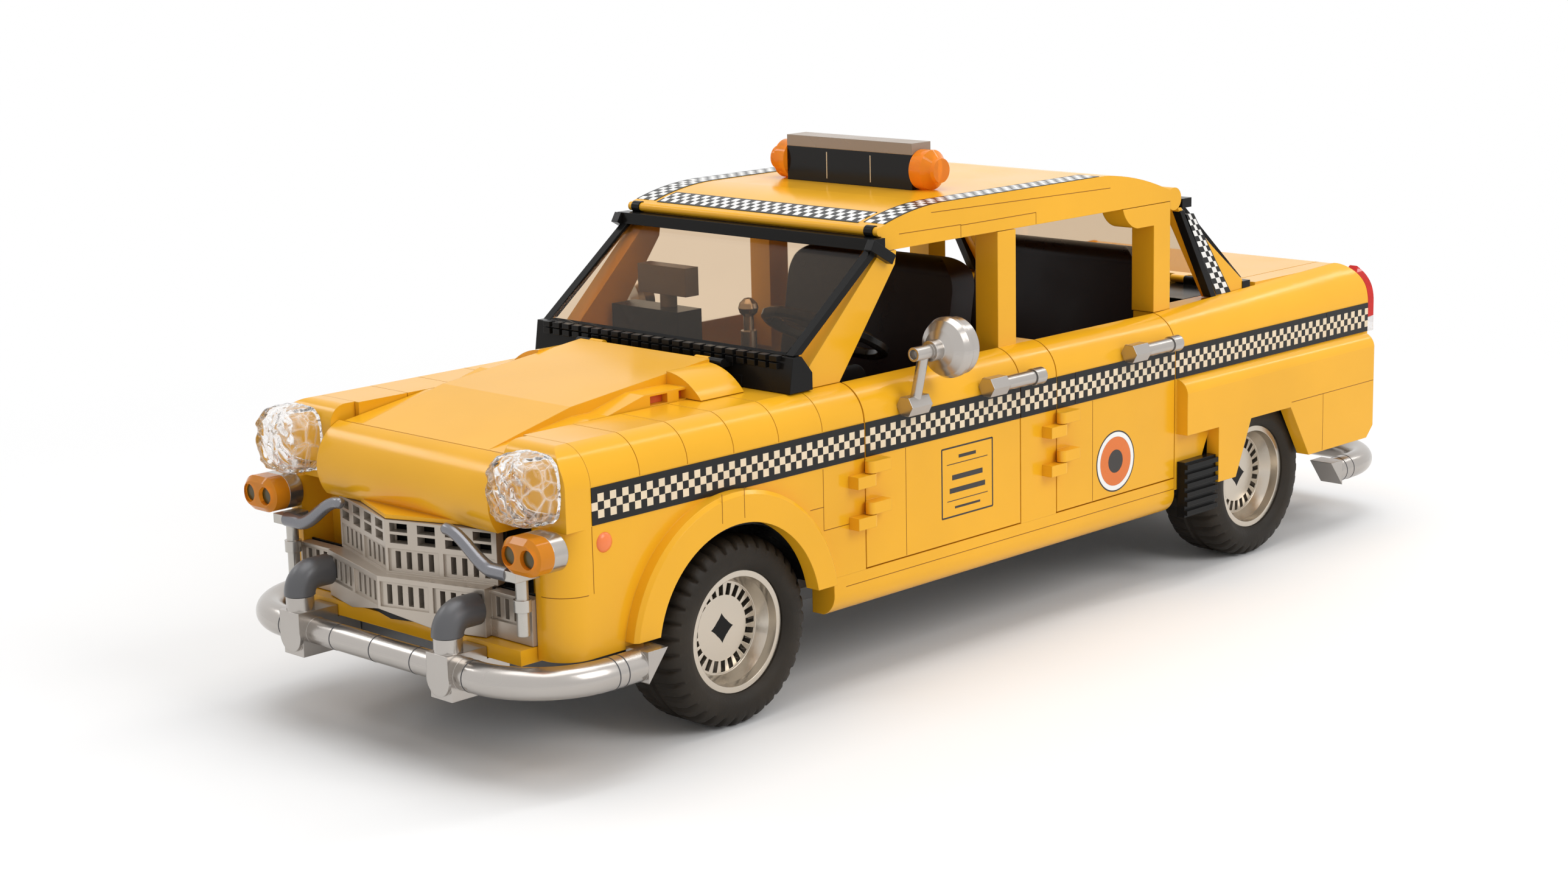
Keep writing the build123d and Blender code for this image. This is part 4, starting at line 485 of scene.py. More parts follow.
cream_checks = checks("cream_checks", CREAM)
stripes = {}
for body, first, last in STRIPE_TILES:
    corners = upright(first, last, STRIPE_FOOT, STRIPE_TOP)
    places = (corners - (0, CHECK_FOOT)) / CHECK
    for side, rider in bodies_of(body):
        tile = side_plate(side, corners, SIDE - STRIPE_SUNK, SIDE + STRIPE_PROUD, places)
        stripes.setdefault(rider, []).append(tile)
for rider, tiles in stripes.items():
    piece("stripe_" + rider, tiles, cream_checks, rider, "black_plastic")

# Side reflectors: small round buttons of orange plastic, one on each fender just behind the headlamp. Each
# is moulded with a shallow dome and pressed into the brick.
REFLECTOR_CORAL = (0.85, 0.2, 0.05)
REFLECTOR_STATION = 3.8
REFLECTOR_Z = 57.9
# Radius and how far each ring of the button stands out
REFLECTOR_DOME = ((0.0, 0.9), (1.4, 0.75), (2.2, 0.4), (2.5, 0.0), (2.5, -0.3), (0.0, -0.3))


def turned(profile, centre, axis, sides=48):
    """Profile of (radius, distance along the axis) pairs in millimetres, turned about an axis and closed."""
    axis = np.asarray(axis, dtype=float)
    first = np.roll(axis, 1)
    second = np.cross(axis, first)
    turn = np.linspace(0, 2 * np.pi, sides, endpoint=False)[None, :, None]
    radius, along = (np.asarray(profile, dtype=float) * MM).T[:, :, None, None]
    outwards = np.cos(turn) * first + np.sin(turn) * second
    return surface(centre + along * axis + radius * outwards, True, True)


reflector_plastic = moulded("reflector_plastic", REFLECTOR_CORAL, 0.2)
reflectors = [
    turned(REFLECTOR_DOME, spot(REFLECTOR_STATION, side * SIDE, REFLECTOR_Z), (0, side, 0))
    for side in (1, -1)
]
piece("side_reflectors", reflectors, reflector_plastic, "body", "amber_plastic")

# Grille: rows of slotted tiles in a silver plastic that meet in a shallow V and clip onto the bricks behind
# them. A black sheet close behind darkens the slots: it is painted shade for the hollow behind them.
GRILLE_SILVER = (0.48, 0.42, 0.355)
SHEET = 0.5
# Half width of each sheet's span, its station in the middle and at its edges, its foot and its top
GRILLE_SHADE_SHEETS = (
    ((-30.5, 0.0, 30.5), -17.9, -9.6, 33.6, 45.2),
    ((-30.5, 0.0, 30.5), -14.8, -5.2, 45.4, 58.9),
    ((30.6, 38.0, 45.6), -7.4, -7.4, 33.6, 45.2),
    ((-45.6, -38.0, -30.6), -7.4, -7.4, 33.6, 45.2),
)
grille_plastic = moulded("grille_plastic", GRILLE_SILVER, 0.32, 0.5)
paint(grille_plastic, "grille")
# Black sheets just behind the slots: painted shade.
shade_sheets = []
for widths, middle, edge, foot, top in GRILLE_SHADE_SHEETS:
    y, z = np.meshgrid(widths, (foot, top), indexing="ij")
    station = np.repeat(np.array([[edge], [middle], [edge]]), 2, axis=1)
    shade_sheets.append(plate(spot(station, y, z), spot(station + SHEET, y, z)))
piece("grille_shade_sheet", shade_sheets, black_brick, "body", "black_plastic")

# Bars beside the grille: an upright bar with a collar on a small block under each indicator, and a smooth
# bent horn that reaches in over the grille. They are moulded plastic pushed into the block: bars pale silver,
# horns a darker steel colour.
ALONG = (1, 0, 0)
BAR_SILVER = (0.49, 0.465, 0.425)
HORN_STEEL = (0.2, 0.2, 0.215)
BAR_Y = 45.5
BAR_STATION = -13.5
BAR_R = 1.6
BAR_FOOT = 36.7
BLOCK_FOOT = 50.7
BLOCK_TOP = 53.2
BLOCK_HALF = 2.5
BLOCK_BACK = -9.9
BLOCK_FRONT = -17.4
COLLAR_R = 2.2
COLLAR_FOOT = 42.7
COLLAR_TOP = 45.7
HORN_STATION = -16.0
HORN_R = 1.6
HORN_REACH = 25.5
HORN_LOW = 52.0
HORN_RISE = 7.6
HORN_START = 1.5
HORN_LEVEL = 7.0
HORN_SWING = 17.0
HORN_TIP = 1.2
HORN_THICK = 1.18
HORN_TAPER = 0.25
HORN_BLUNT = 0.9
HORN_SAMPLES = 48
ROD_SUNK = 0.5


def tube(path, radius, across, sides=24):
    """Round tube along a flat path: a ring square to the path at each point, and flat closed ends."""
    across = np.asarray(across, dtype=float)
    ahead = np.gradient(path, axis=0)
    ahead /= np.linalg.norm(ahead, axis=1, keepdims=True)
    out = np.cross(ahead, across)
    radius = np.broadcast_to(radius, len(path)).copy()
    ends = [0, *range(len(path)), len(path) - 1]
    radius = np.concatenate([[0.0], radius, [0.0]])[:, None, None]
    turn = np.linspace(0, 2 * np.pi, sides, endpoint=False)[None, :, None]
    rings = path[ends][:, None, :] + radius * (np.cos(turn) * across + np.sin(turn) * out[ends][:, None, :])
    return surface(rings, False, True)


def block(s0, s1, y0, y1, z0, z1):
    """Box between two stations, two widths and two heights."""
    y, z = np.meshgrid((y0, y1), (z0, z1), indexing="ij")
    return plate(spot(s0, y, z), spot(s1, y, z))


def rod(low, high, radius):
    """Upright rod between two points."""
    return tube(np.linspace(low, high, 3), radius * MM, ALONG)


def horn(side):
    """Tube that leaves the block level and swings up in a smooth step, three squares less two cubes.

    It thins as it climbs, and its tip is rounded off like the end of an ellipse.
    """
    reach = np.linspace(HORN_START, HORN_REACH, HORN_SAMPLES)
    share = np.clip((reach - HORN_LEVEL) / HORN_SWING, 0, 1)
    z = HORN_LOW + HORN_RISE * share**2 * (3 - 2 * share)
    tip = np.clip((HORN_REACH - reach) / HORN_TIP, 0, 1)
    radius = HORN_R * (HORN_THICK - HORN_TAPER * share) * np.sqrt(1 - (1 - tip) ** 2 * HORN_BLUNT)
    return tube(spot(HORN_STATION, side * (BAR_Y - reach), z), radius * MM, ALONG)


bar_plastic = moulded("bar_plastic", BAR_SILVER, 0.24, 0.75)
horn_plastic = moulded("horn_plastic", HORN_STEEL, 0.26, 0.7)
bars = []
for side in (1, -1):
    y = side * BAR_Y
    bars.append(block(BLOCK_BACK, BLOCK_FRONT, y - BLOCK_HALF, y + BLOCK_HALF, BLOCK_FOOT, BLOCK_TOP))
    bars.append(rod(spot(BAR_STATION, y, BAR_FOOT), spot(BAR_STATION, y, BLOCK_FOOT + ROD_SUNK), BAR_R))
    bars.append(rod(spot(BAR_STATION, y, COLLAR_FOOT), spot(BAR_STATION, y, COLLAR_TOP), COLLAR_R))
piece("grille_side_bars", bars, bar_plastic, "body", "silver_plastic", "grille_bars")
piece("grille_horns", [horn(side) for side in (1, -1)], horn_plastic, "body", "dark_grey_plastic")

# Bumpers: plated tubes bent round the corners, on guard blocks with pointed shields. Fine dark rings show
# where one length of tube is pushed into the next.
BUMPER_SILVER = (0.45, 0.42, 0.39)
RING_DARK = (0.07, 0.07, 0.075)
RING_HALF = 0.14
RING_PROUD = 0.06
RING_SUNK = 0.3
ACROSS = (0, 1, 0)
# Station, width, height, radius and direction of each ring; one off the middle has a twin on the right
BUMPER_RINGS = (
    (-22.0, 0.0, 26.8, 3.4, ACROSS),
    (-22.0, 16.0, 26.8, 3.4, ACROSS),
    (-22.0, 36.5, 26.8, 4.0, ACROSS),
    (0.4, 60.0, 26.8, 4.0, ALONG),
    (3.4, 60.0, 26.8, 4.0, ALONG),
    (352.0, 0.0, 19.0, 4.0, ACROSS),
    (352.0, 20.0, 19.0, 4.0, ACROSS),
    (323.0, 54.0, 19.0, 4.0, ALONG),
    (327.0, 54.0, 19.0, 4.0, ALONG),
)


def ring(station, y, z, radius, axis):
    """Thin closed hoop round a tube, standing a hair above its skin."""
    inner = radius - RING_SUNK
    outer = radius + RING_PROUD
    profile = ((inner, -RING_HALF), (outer, -RING_HALF), (outer, RING_HALF), (inner, RING_HALF))
    return turned(profile, spot(station, y, z), axis)


plated = moulded("plated_plastic", BUMPER_SILVER, 0.22, 0.9)
ring_dark = moulded("ring_dark", RING_DARK, 0.35, 0.4)
paint(plated, "front_bumper", "rear_bumper", "indicator_housings", "lever", "mirror_left", "mirror_right")
bumper_rings = [ring(*row) for row in BUMPER_RINGS]
bumper_rings += [ring(station, -y, *rest) for station, y, *rest in BUMPER_RINGS if y]
piece("bumper_rings", bumper_rings, ring_dark, "body", "chrome_plastic")

# Bumper elbows: smooth dark steel-coloured pipes that rise from the bumper's sleeves and turn back to the
# grille, one moulding each.
ELBOW_STEEL = (0.1, 0.1, 0.105)
ELBOW_R = 4.0
ELBOW_BEND = 4.6
ELBOW_SAMPLES = 20
ELBOW_SIDES = 40


def elbow(side):
    """Tube along an upright run, a quarter circle and a level run, within the box of the pair of elbows."""
    low, high = (np.array(corner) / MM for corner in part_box("bumper_guards"))
    y = side * (high[1] - ELBOW_R)
    front = high[0] - ELBOW_R
    level = high[2] - ELBOW_R
    turn = np.linspace(0, np.pi / 2, ELBOW_SAMPLES)
    x = np.concatenate([[front], front - ELBOW_BEND * (1 - np.cos(turn)), [low[0]]])
    z = np.concatenate([[low[2]], level - ELBOW_BEND * (1 - np.sin(turn)), [level]])
    path = np.stack([x, np.full_like(x, y), z], axis=-1) * MM
    return tube(path, ELBOW_R * MM, ACROSS, ELBOW_SIDES)


elbow_plastic = moulded("elbow_plastic", ELBOW_STEEL, 0.34, 0.25)
elbows = [elbow(side) for side in (1, -1)]
piece("bumper_elbows", elbows, elbow_plastic, "body", "dark_grey_plastic", "bumper_guards")

# Headlamps: thick clear plastic cups, rounded squares with a domed and pebbled face that breaks up the
# light, with whitish seams between the pebbles that are a painted highlight. They are pressed into the
# nacelles.
LENS_CLEAR = (1.0, 0.985, 0.975)
REVERSE_CLEAR = (0.95, 0.95, 0.96)
LENS_BOW = 3.4
LENS_SIDES = 96
PEBBLE = 0.5
PEBBLE_PITCH = 2.6
# Share of the half size and share of the depth of each ring: the hollow from its middle to the rim, then the
# outer wall from the rim to the edge of the domed face
LENS_HOLLOW = ((0.0, 0.76), (0.3, 0.755), (0.55, 0.72), (0.7, 0.64), (0.78, 0.5), (0.81, 0.2), (0.82, 0.0))
LENS_WALL = ((1.0, 0.0), (1.0, 0.1), (1.0, 0.3), (0.995, 0.5), (0.97, 0.65), (0.92, 0.77), (0.84, 0.86))
LENS_SIDE_RINGS = 53
LENS_FACE_RINGS = 30
WALL_RIPPLE = 0.018
# Whitish seams of less clear plastic between the pebbles, a painted highlight: cell scale, seam share,
# clearness
GLINT_SEAM_SCALE = 230.0
GLINT_SEAM_SHARE = 0.1
GLINT_SEAM_CLEAR = 0.7
LENS_CROWN = 0.95
LENS_ROUGH = 0.04
PLASTIC_BEND = 1.3
FLOW = (0.97, 1.0)
FLOW_SCALE = 30.0
HAZE = (0.7, 1.4)
HAZE_SCALE = 40.0


def lens(side):
    """Closed hollow cup of rings, each a square with bowed sides whose radius follows a sum of two powers.

    The domed face climbs with the square of its share of the half size, and rises and falls with two crossed
    waves that a third one bends, so that it is covered in uneven pebbles; the walls have finer ripples.
    """
    low, high = (np.array(corner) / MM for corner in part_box("headlamp_lenses"))
    half = (high[2] - low[2]) / 2
    depth = high[0] - low[0]
    edge, foot = LENS_WALL[-1]
    share = np.linspace(edge, 0, LENS_FACE_RINGS)[1:]
    climb = foot + (LENS_CROWN - foot) * (1 - (share / edge) ** 2)
    sides = np.array(LENS_HOLLOW + LENS_WALL)
    step = np.linspace(0, len(sides) - 1, LENS_SIDE_RINGS)
    sides = np.stack([np.interp(step, range(len(sides)), column) for column in sides.T], axis=-1)
    rows = np.vstack([sides, np.stack([share, climb], axis=-1)])
    turn = np.linspace(0, 2 * np.pi, LENS_SIDES, endpoint=False)[None, :]
    bow = (abs(np.cos(turn)) ** LENS_BOW + abs(np.sin(turn)) ** LENS_BOW) ** (-1 / LENS_BOW)
    number = np.arange(len(rows))[:, None]
    on_face = number >= LENS_SIDE_RINGS
    ripple = np.sin(11 * turn + 9 * rows[:, 1:]) * np.sin(13 * rows[:, 1:] + 3 * np.sin(4 * turn))
    reach = rows[:, :1] * bow * (1 - np.where(on_face, 0.0, WALL_RIPPLE * (1 - ripple)))
    across = half * reach * np.cos(turn)
    up = half * reach * np.sin(turn)
    bend = np.sin(2.3 * np.pi * across / half) + np.sin(1.7 * np.pi * up / half + 1.0)
    pebbles = np.sin(np.pi * across / PEBBLE_PITCH + bend) * np.sin(np.pi * up / PEBBLE_PITCH - bend)
    forward = depth * rows[:, 1:] + PEBBLE * pebbles * np.where(on_face, 1.0, rows[:, 1:])
    x = low[0] + forward
    y = side * (high[1] - half) + across
    return surface(np.stack([x, y, low[2] + half + up], axis=-1) * MM, False, True)


def clear(name, colour, rough, bend, through=1.0):
    """Clear tinted plastic with a trace of flow marks."""
    material, tree, shader = new_material(name)
    shader.inputs["Transmission Weight"].default_value = through
    shader.inputs["IOR"].default_value = bend
    wire(tree, tint(tree, colour, *FLOW, FLOW_SCALE), shader.inputs["Base Color"])
    clearest, haziest = (share * rough for share in HAZE)
    wire(tree, cloudy(tree, HAZE_SCALE, clearest, haziest), shader.inputs["Roughness"])
    return material


def pebbled(name, colour):
    """Clear plastic whose pebbles are parted by whitish seams of painted highlight: less light passes near
    the edges of cells.
    """
    material = clear(name, colour, LENS_ROUGH, PLASTIC_BEND)
    tree = material.node_tree
    cells = tree.nodes.new("ShaderNodeTexVoronoi")
    cells.feature = "DISTANCE_TO_EDGE"
    cells.inputs["Scale"].default_value = GLINT_SEAM_SCALE
    place = tree.nodes.new("ShaderNodeTexCoord")
    wire(tree, place.outputs["Object"], cells.inputs["Vector"])
    spread = tree.nodes.new("ShaderNodeMapRange")
    spread.inputs["From Max"].default_value = GLINT_SEAM_SHARE
    spread.inputs["To Min"].default_value = GLINT_SEAM_CLEAR
    wire(tree, cells.outputs["Distance"], spread.inputs["Value"])
    wire(tree, spread.outputs["Result"], tree.nodes["Principled BSDF"].inputs["Transmission Weight"])
    return material


lens_plastic_and_glints = pebbled("lens_plastic_and_glints", LENS_CLEAR)
clear_plastic = clear("clear_plastic", REVERSE_CLEAR, 0.05, PLASTIC_BEND)
lenses = [lens(side) for side in (1, -1)]
piece("pebbled_lenses", lenses, lens_plastic_and_glints, "body", "clear_plastic", "headlamp_lenses")
paint(clear_plastic, "reverse_lamps")

# Indicators: amber pill-shaped lenses on plated housings, each with two round hollows whose floors look
# dark and greenish through the plastic, drawn as dark olive discs of painted shade. Tail lamps are the
# same plastic in red.
AMBER = (1.0, 0.34, 0.015)
TAIL_RED = (0.8, 0.02, 0.012)
HOLLOW_SHADE_OLIVE = (0.06, 0.045, 0.004)
HOLLOW_R = 2.2
HOLLOW_FLOOR = -18.5
HOLLOW_AT = (48.2, 55.0)
HOLLOW_Z = 58.0
# Radius and how far each ring of a hollow's floor stands out
HOLLOW_PROFILE = ((0.0, 0.25), (HOLLOW_R, 0.2), (HOLLOW_R, -0.1), (0.0, -0.1))
amber_plastic = clear("amber_plastic", AMBER, 0.07, PLASTIC_BEND, 0.42)
red_plastic = clear("red_plastic", TAIL_RED, 0.06, PLASTIC_BEND, 0.6)
paint(amber_plastic, "indicator_lenses", "sign_lamps")
paint(red_plastic, "tail_lamps")
# Dark olive discs at the floors of the hollows: painted shade.
hollow_shade = moulded("hollow_shade_olive", HOLLOW_SHADE_OLIVE, 0.3)
shade_floors = [
    turned(HOLLOW_PROFILE, spot(HOLLOW_FLOOR, side * y, HOLLOW_Z), ALONG)
    for side in (1, -1)
    for y in HOLLOW_AT
]
piece("indicator_hollow_shade", shade_floors, hollow_shade, "body", "amber_plastic")

# Cowl and windscreen: a black base with two rows of small square tiles, a tinted pane and its black frame,
# leaning back to the roof. The rear screen is the same smoky plastic.
SMOKE = (0.73, 0.56, 0.39)
PANE_BEND = 1.2
TILE_PITCH = 4.0
TILE_HALF = 1.35
TILE_COUNT = 23
TILE_FRONT = 74.7
TILE_BACK = 76.8
# Foot and top of each row of tiles
TILE_ROWS = ((87.9, 89.5), (89.9, 91.3))
paint(black_brick, "cowl", "windscreen_frame", "rear_screen_bar")
smoke_plastic = clear("smoke_plastic", SMOKE, 0.03, PANE_BEND)
paint(smoke_plastic, "windscreen_glass", "rear_glass")
tiles = []
for foot, top in TILE_ROWS:
    for y in (np.arange(TILE_COUNT) - (TILE_COUNT - 1) / 2) * TILE_PITCH:
        tiles.append(block(TILE_FRONT, TILE_BACK, y - TILE_HALF, y + TILE_HALF, foot, top))
piece("cowl_tiles", tiles, black_brick, "body", "black_plastic")

# Frame caps: small slanted clips of black plastic, one over each upper corner of the windscreen frame. They
# are pressed on from the side and follow the frame's lean.
# Corners as (station, height): top edge from front to back, then lower edge from front to back
FRAME_CAP = (((107.6, 117.9), (115.8, 113.0)), ((106.0, 115.3), (114.3, 110.7)))
FRAME_CAP_INNER = 47.6
FRAME_CAP_OUTER = 50.2
caps = [side_plate(side, FRAME_CAP, FRAME_CAP_INNER, FRAME_CAP_OUTER) for side in (1, -1)]
piece("frame_caps", caps, black_brick, "body", "black_plastic")

# Roof bands: printed black tiles with three rows of white checks, laid along the roof's front edge and
# along both its side edges, and following its curve.
WHITE = (0.86, 0.85, 0.82)
BAND_PROUD = 0.15
BAND_SUNK = 0.3
BAND_SAMPLES = 80
BAND_MARGIN = 0.3
# First and last station, first and last width, and whether the rows run along the cab
ROOF_BANDS = (
    (113.4, 121.2, 0.1, 38.8, False),
    (113.4, 121.2, -38.8, -0.1, False),
    (114.2, 206.0, 40.2, 47.8, True),
    (114.2, 206.0, -47.8, -40.2, True),
)
ABOVE_ROOF = 140.0


def draped(points, node):
    """Points dropped straight down onto a piece, by a shrinkwrap whose result is read back."""
    mesh = bpy.data.meshes.new("drape")
    mesh.from_pydata(points.reshape(-1, 3), [], [])
    sheet = bpy.data.objects.new("drape", mesh)
    bpy.context.collection.objects.link(sheet)
    wrap = sheet.modifiers.new("drape", "SHRINKWRAP")
    wrap.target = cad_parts[node]
    wrap.wrap_method = "PROJECT"
    wrap.use_project_z = True
    wrap.use_positive_direction = False
    wrap.use_negative_direction = True
    settled = sheet.evaluated_get(bpy.context.evaluated_depsgraph_get())
    found = np.empty(points.size)
    settled.data.vertices.foreach_get("co", found)
    bpy.data.objects.remove(sheet)
    bpy.data.meshes.remove(mesh)
    return found.reshape(points.shape)


def roof_band(s0, s1, y0, y1, lengthwise):
    """Grid over the band's stations and widths, dropped on the roof and thickened up and down."""
    station, y = np.meshgrid(np.linspace(s0, s1, BAND_SAMPLES), np.linspace(y0, y1, 5), indexing="ij")
    laid = draped(spot(station, y, ABOVE_ROOF), "roof")
    up = np.array([0.0, 0.0, MM])
    along, across = (station / CHECK, y) if lengthwise else (y / CHECK, station)
    share = (across - across.min()) / (across.max() - across.min())
    places = np.stack([along, (CHECK_ROWS + 2 * BAND_MARGIN) * share - BAND_MARGIN], axis=-1)
    return plate(laid + BAND_PROUD * up, laid - BAND_SUNK * up, places)


white_checks = checks("white_checks", WHITE)
piece("roof_bands", [roof_band(*row) for row in ROOF_BANDS], white_checks, "body", "black_plastic")

# Roof clips: black plastic clips round the strip at the roof's front edge, one at each side, that snap on
# and hold the strip to its bar.
CLIP_STATION = 112.0
CLIP_Z = 119.35
CLIP_R = 1.6
CLIP_ENDS = (43.4, 46.4)
clips = []
for side in (1, -1):
    y = side * np.linspace(*CLIP_ENDS, 3)
    clips.append(tube(spot(CLIP_STATION, y, CLIP_Z), CLIP_R * MM, (0, 0, 1)))
piece("roof_clips", clips, black_brick, "body", "black_plastic")

# Sail bands: printed checkered tiles pressed onto the slanted posts beside the rear screen, with a black
# gasket strip along their front edge and a black foot behind.
SAIL_INNER = 47.4
SAIL_OUTER = 48.25
GASKET_INNER = 45.4
FOOT_INNER = 43.0
# Corners as (station, height): front edge from top to foot, then back edge from top to foot
SAIL_BAND = (((247.0, 109.2), (263.6, 83.0)), ((251.4, 109.2), (271.0, 83.0)))
SAIL_GASKET = (((244.4, 110.6), (260.8, 82.6)), ((246.8, 110.6), (263.4, 82.6)))
SAIL_CHECKS = 15.0
SAIL_FOOT = (277.2, 281.2, 82.0, 85.4)
sail_places = np.array([
    [(0.0, -BAND_MARGIN), (SAIL_CHECKS, -BAND_MARGIN)],
    [(0.0, CHECK_ROWS + BAND_MARGIN), (SAIL_CHECKS, CHECK_ROWS + BAND_MARGIN)],
])
sails = [side_plate(side, SAIL_BAND, SAIL_INNER, SAIL_OUTER, sail_places) for side in (1, -1)]
piece("sail_bands", sails, white_checks, "body", "black_plastic")
gaskets = [side_plate(side, SAIL_GASKET, GASKET_INNER, SAIL_OUTER) for side in (1, -1)]
gaskets += [side_plate(side, upright(*SAIL_FOOT), FOOT_INNER, SAIL_OUTER) for side in (1, -1)]
piece("sail_gaskets", gaskets, black_brick, "body", "black_plastic")

# Roof sign: a glossy black box with two fine pale lines that part its blank face into three fields, a
# grey-brown cap, and an amber lamp at each end.
CAP_TAN = (0.3, 0.235, 0.18)
LINE_PALE = (0.55, 0.46, 0.33)
SIGN_FACES = (152.0, 160.0)
SIGN_LINE_Y = 8.4
SIGN_LINE_HALF = 0.18
SIGN_LINE_Z = (125.8, 133.4)
LINE_PROUD = 0.08
sign_gloss = moulded("sign_gloss", BRICK_BLACK, 0.12, gloss=0.2)
cap_brick = moulded("cap_brick", CAP_TAN, 0.28)
line_pale = moulded("line_pale", LINE_PALE, 0.3)
paint(sign_gloss, "roof_sign")
paint(cap_brick, "sign_cap")
sign_lines = [
    block(face - LINE_PROUD, face + LINE_PROUD, y - SIGN_LINE_HALF, y + SIGN_LINE_HALF, *SIGN_LINE_Z)
    for face in SIGN_FACES
    for y in (-SIGN_LINE_Y, SIGN_LINE_Y)
]
piece("sign_lines", sign_lines, line_pale, "body", "light_grey_plastic")

# Door handles: a six-sided block, a bright bar and a cap, in plated plastic, clipped to the shoulder. A dark
# groove parts the bar from its cap.
HANDLE_Y = 58.7
HANDLE_Z = 74.2
HANDLE_BAR_R = 2.05
# Door and station of the groove on its handle
HANDLE_GROOVES = (("front_door", 161.8), ("rear_door", 225.5))
for door, station in HANDLE_GROOVES:
    for side, rider in bodies_of(door):
        paint(plated, rider.replace("door_", "door_handle_"))
        groove = ring(station, side * HANDLE_Y, HANDLE_Z, HANDLE_BAR_R, ALONG)
        piece("handle_groove_" + rider, [groove], ring_dark, rider, "chrome_plastic")

# Door prints: a plain card of lines and bars on each front door and a plain ringed roundel on each rear
# door, printed straight on the yellow plastic.
PRINT_DARK = (0.02, 0.015, 0.012)
PRINT_ORANGE = (0.72, 0.16, 0.012)
PRINT_PROUD = 0.05
CARD = (126.6, 147.8, 40.0, 59.2)
CARD_LINE = 0.22
# Height, half thickness and share of the card's width of each bar
CARD_BARS = (
    (56.4, 0.45, 0.34),
    (54.6, 0.1, 0.8),
    (50.8, 0.7, 0.6),
    (47.2, 0.7, 0.7),
    (44.4, 0.1, 0.8),
    (42.4, 0.3, 0.5),
)
ROUNDEL_STATION = 203.3
ROUNDEL_Z = 42.8
ROUNDEL_SIDES = 72
# Colour name, inner and outer radius of each ring of the roundel
ROUNDEL = (("dark", 8.6, 9.0), ("white", 7.2, 8.6), ("orange", 3.4, 7.2), ("dark", 0.0, 3.4))
print_dark = moulded("print_dark", PRINT_DARK, 0.3)
print_white = moulded("print_white", WHITE, 0.25)
print_orange = moulded("print_orange", PRINT_ORANGE, 0.25)
PRINTS = {
    "dark": (print_dark, "black_plastic"),
    "white": (print_white, "light_grey_plastic"),
    "orange": (print_orange, "amber_plastic"),
}
s0, s1, z0, z1 = CARD
frame_lines = ((s0, z0, s1, z0), (s1, z0, s1, z1), (s1, z1, s0, z1), (s0, z1, s0, z0))
for side, rider in bodies_of("front_door"):
    lines = [line_corners(*ends, CARD_LINE) for ends in frame_lines]
    middle = (s0 + s1) / 2
    for z, half, share in CARD_BARS:
        reach = share * (s1 - s0) / 2
        lines.append(line_corners(middle - reach, z, middle + reach, z, half))
    parts = [side_plate(side, corners, SIDE - PRINT_PROUD, SIDE + PRINT_PROUD) for corners in lines]
    piece("card_" + rider, parts, print_dark, rider, "black_plastic")
for side, rider in bodies_of("rear_door"):
    centre = spot(ROUNDEL_STATION, side * SIDE, ROUNDEL_Z)
    for number, (colour, inner, outer) in enumerate(ROUNDEL):
        profile = ((inner, -PRINT_PROUD), (inner, PRINT_PROUD), (outer, PRINT_PROUD), (outer, -PRINT_PROUD))
        material, slot = PRINTS[colour]
        disc = turned(profile, centre, (0, side, 0), ROUNDEL_SIDES)
        piece(f"roundel_{colour}_{number}_{rider}", [disc], material, rider, slot)

# Stone guards: pads ahead of the rear wheels, moulded in black plastic with level ribs across them and
# pressed onto the skirts.
paint(black_brick, "stone_guards")

# Studio: a sheet of pale matte card for a floor, which keeps the cab's shadow and fades into a white
# surround, and four soft panels of light that hang round the cab.
FLOOR_HALF = 3.0
FLOOR_PALE = (0.88, 0.88, 0.88)
FLOOR_ROUGH = 0.7
SKY_LIGHT = 0.6
SKY_SEEN = 1.0
FADE_START = 0.24
FADE_END = 0.5
floor_grid = np.array([[(x, y, 0.0) for y in (-FLOOR_HALF, FLOOR_HALF)] for x in (-FLOOR_HALF, FLOOR_HALF)])
floor_points, floor_quads = surface(floor_grid)[:2]
floor_mesh = bpy.data.meshes.new("floor")
floor_mesh.from_pydata(floor_points, [], floor_quads.tolist())


def seen(tree):
    """One for rays of the camera, of gloss and of clear plastic, else zero."""
    paths = tree.nodes.new("ShaderNodeLightPath")
    onward = math_node(tree, "MAXIMUM", paths.outputs["Is Glossy Ray"], paths.outputs["Is Transmission Ray"])
    return math_node(tree, "MAXIMUM", paths.outputs["Is Camera Ray"], onward)


floor_material, floor_tree, floor_shader = new_material("pale_floor")
wire(floor_tree, tint(floor_tree, FLOOR_PALE, 0.985, 1.0, 6.0), floor_shader.inputs["Base Color"])
floor_shader.inputs["Roughness"].default_value = FLOOR_ROUGH
place = floor_tree.nodes.new("ShaderNodeTexCoord")
reach = floor_tree.nodes.new("ShaderNodeVectorMath")
reach.operation = "LENGTH"
wire(floor_tree, place.outputs["Object"], reach.inputs[0])
fade = floor_tree.nodes.new("ShaderNodeMapRange")
fade.interpolation_type = "SMOOTHSTEP"
fade.inputs["From Min"].default_value = FADE_START
fade.inputs["From Max"].default_value = FADE_END
wire(floor_tree, reach.outputs["Value"], fade.inputs["Value"])
glow = floor_tree.nodes.new("ShaderNodeEmission")
mixed = floor_tree.nodes.new("ShaderNodeMixShader")
white_share = math_node(floor_tree, "MULTIPLY", seen(floor_tree), fade.outputs["Result"])
wire(floor_tree, white_share, mixed.inputs["Fac"])
wire(floor_tree, floor_shader.outputs["BSDF"], mixed.inputs[1])
wire(floor_tree, glow.outputs["Emission"], mixed.inputs[2])
wire(floor_tree, mixed.outputs["Shader"], floor_tree.nodes["Material Output"].inputs["Surface"])
floor_mesh.materials.append(floor_material)
floor = bpy.data.objects.new("floor", floor_mesh)
bpy.context.collection.objects.link(floor)

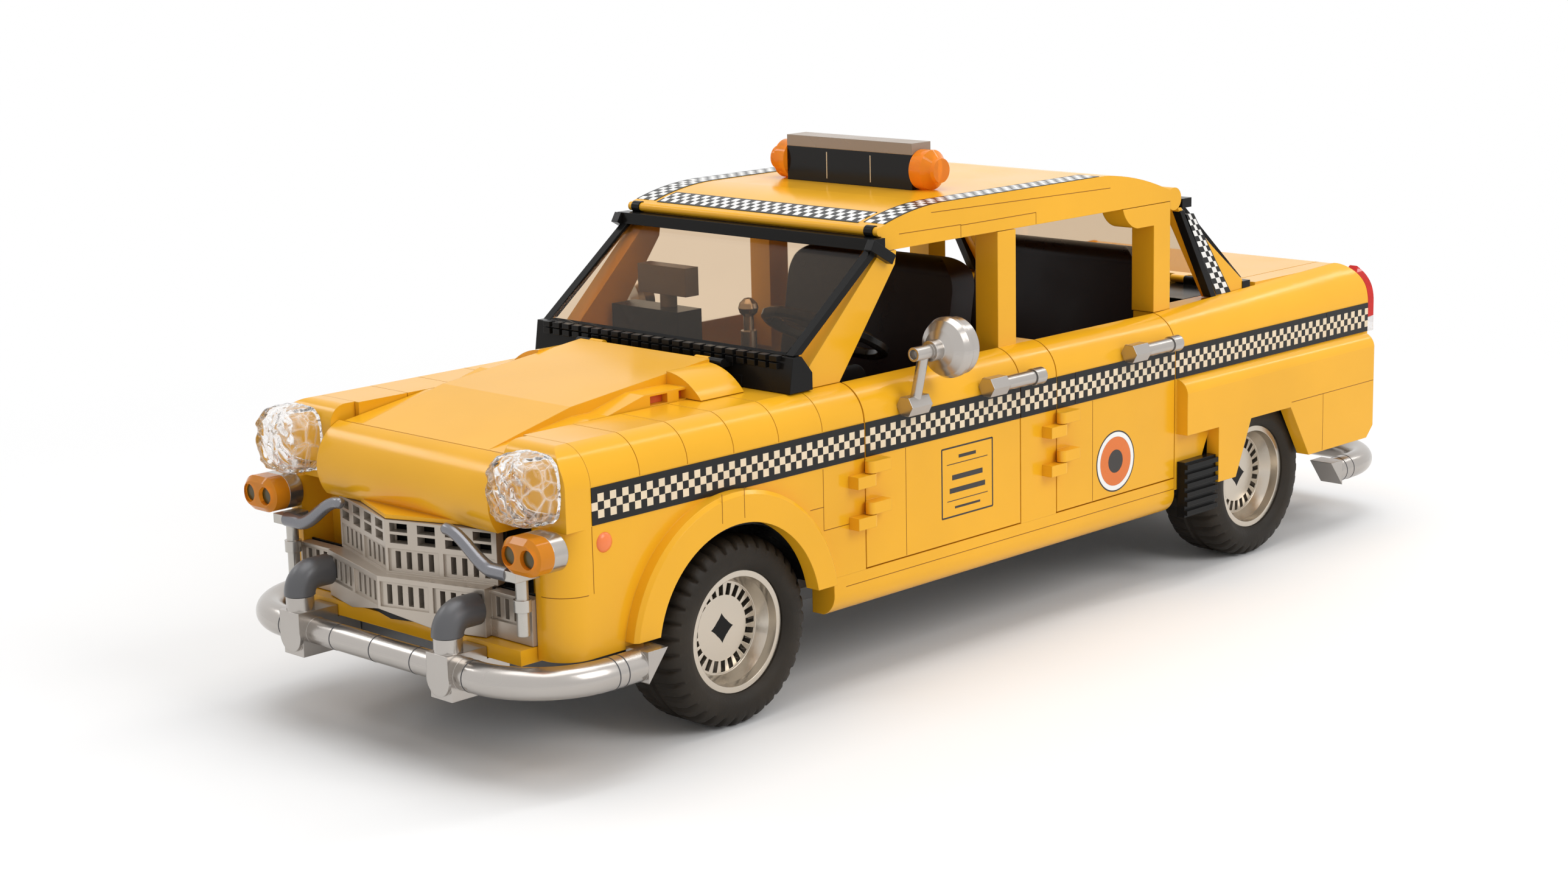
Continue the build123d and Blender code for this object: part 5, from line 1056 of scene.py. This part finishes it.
scene = bpy.context.scene
scene.view_settings.view_transform = "Standard"
world = bpy.data.worlds.new("studio")
world.use_nodes = True
scene.world = world
sky = world.node_tree.nodes["Background"]
sky.inputs["Color"].default_value = (1.0, 1.0, 1.0, 1.0)
level = world.node_tree.nodes.new("ShaderNodeMapRange")
level.inputs["To Min"].default_value = SKY_LIGHT
level.inputs["To Max"].default_value = SKY_SEEN
wire(world.node_tree, seen(world.node_tree), level.inputs["Value"])
wire(world.node_tree, level.outputs["Result"], sky.inputs["Strength"])

# Lamp name, place, watts, width and height: soft panels that face the cab
LAMPS = (
    ("key", (-0.15, 1.1, 0.85), 6.2, 0.7, 0.7),
    ("fill", (0.45, -1.0, 0.85), 1.2, 0.5, 0.15),
    ("strip", (-0.8, 0.2, 1.2), 3.0, 0.1, 1.6),
    ("top", (0.1, 0.0, 1.1), 5.0, 0.9, 0.9),
)
for name, lamp_at, watts, width, height in LAMPS:
    light = bpy.data.lights.new(name, "AREA")
    light.shape = "RECTANGLE"
    light.energy = watts
    light.size = width
    light.size_y = height
    lamp = bpy.data.objects.new(name, light)
    facing = Vector(lamp_at).to_track_quat("Z", "Y").to_matrix().to_4x4()
    lamp.matrix_world = Matrix.Translation(lamp_at) @ facing
    bpy.context.collection.objects.link(lamp)

# Camera: a long lens that stands ahead of the cab's left front corner, a little above the roof. It looks
# down on the cab and leans a little to one side.
CAMERA_AT = (0.58762, 0.53302, 0.21876)
CAMERA_YAW = 3.91432
CAMERA_PITCH = 0.21149
CAMERA_ROLL = -0.0221
FOCAL_PIXELS = 4540.53
IMAGE_WIDTH = 2576
SENSOR = 36.0
ahead = Vector((
    np.cos(CAMERA_YAW) * np.cos(CAMERA_PITCH),
    np.sin(CAMERA_YAW) * np.cos(CAMERA_PITCH),
    -np.sin(CAMERA_PITCH),
))
level_right = ahead.cross(Vector((0, 0, 1))).normalized()
level_up = level_right.cross(ahead)
right = np.cos(CAMERA_ROLL) * level_right + np.sin(CAMERA_ROLL) * level_up
up = -np.sin(CAMERA_ROLL) * level_right + np.cos(CAMERA_ROLL) * level_up
view = bpy.data.cameras.new("camera")
view.sensor_width = SENSOR
view.lens = SENSOR * FOCAL_PIXELS / IMAGE_WIDTH
camera = bpy.data.objects.new("camera", view)
camera.matrix_world = Matrix.Translation(CAMERA_AT) @ Matrix((right, up, -ahead)).transposed().to_4x4()
bpy.context.collection.objects.link(camera)
scene.camera = camera
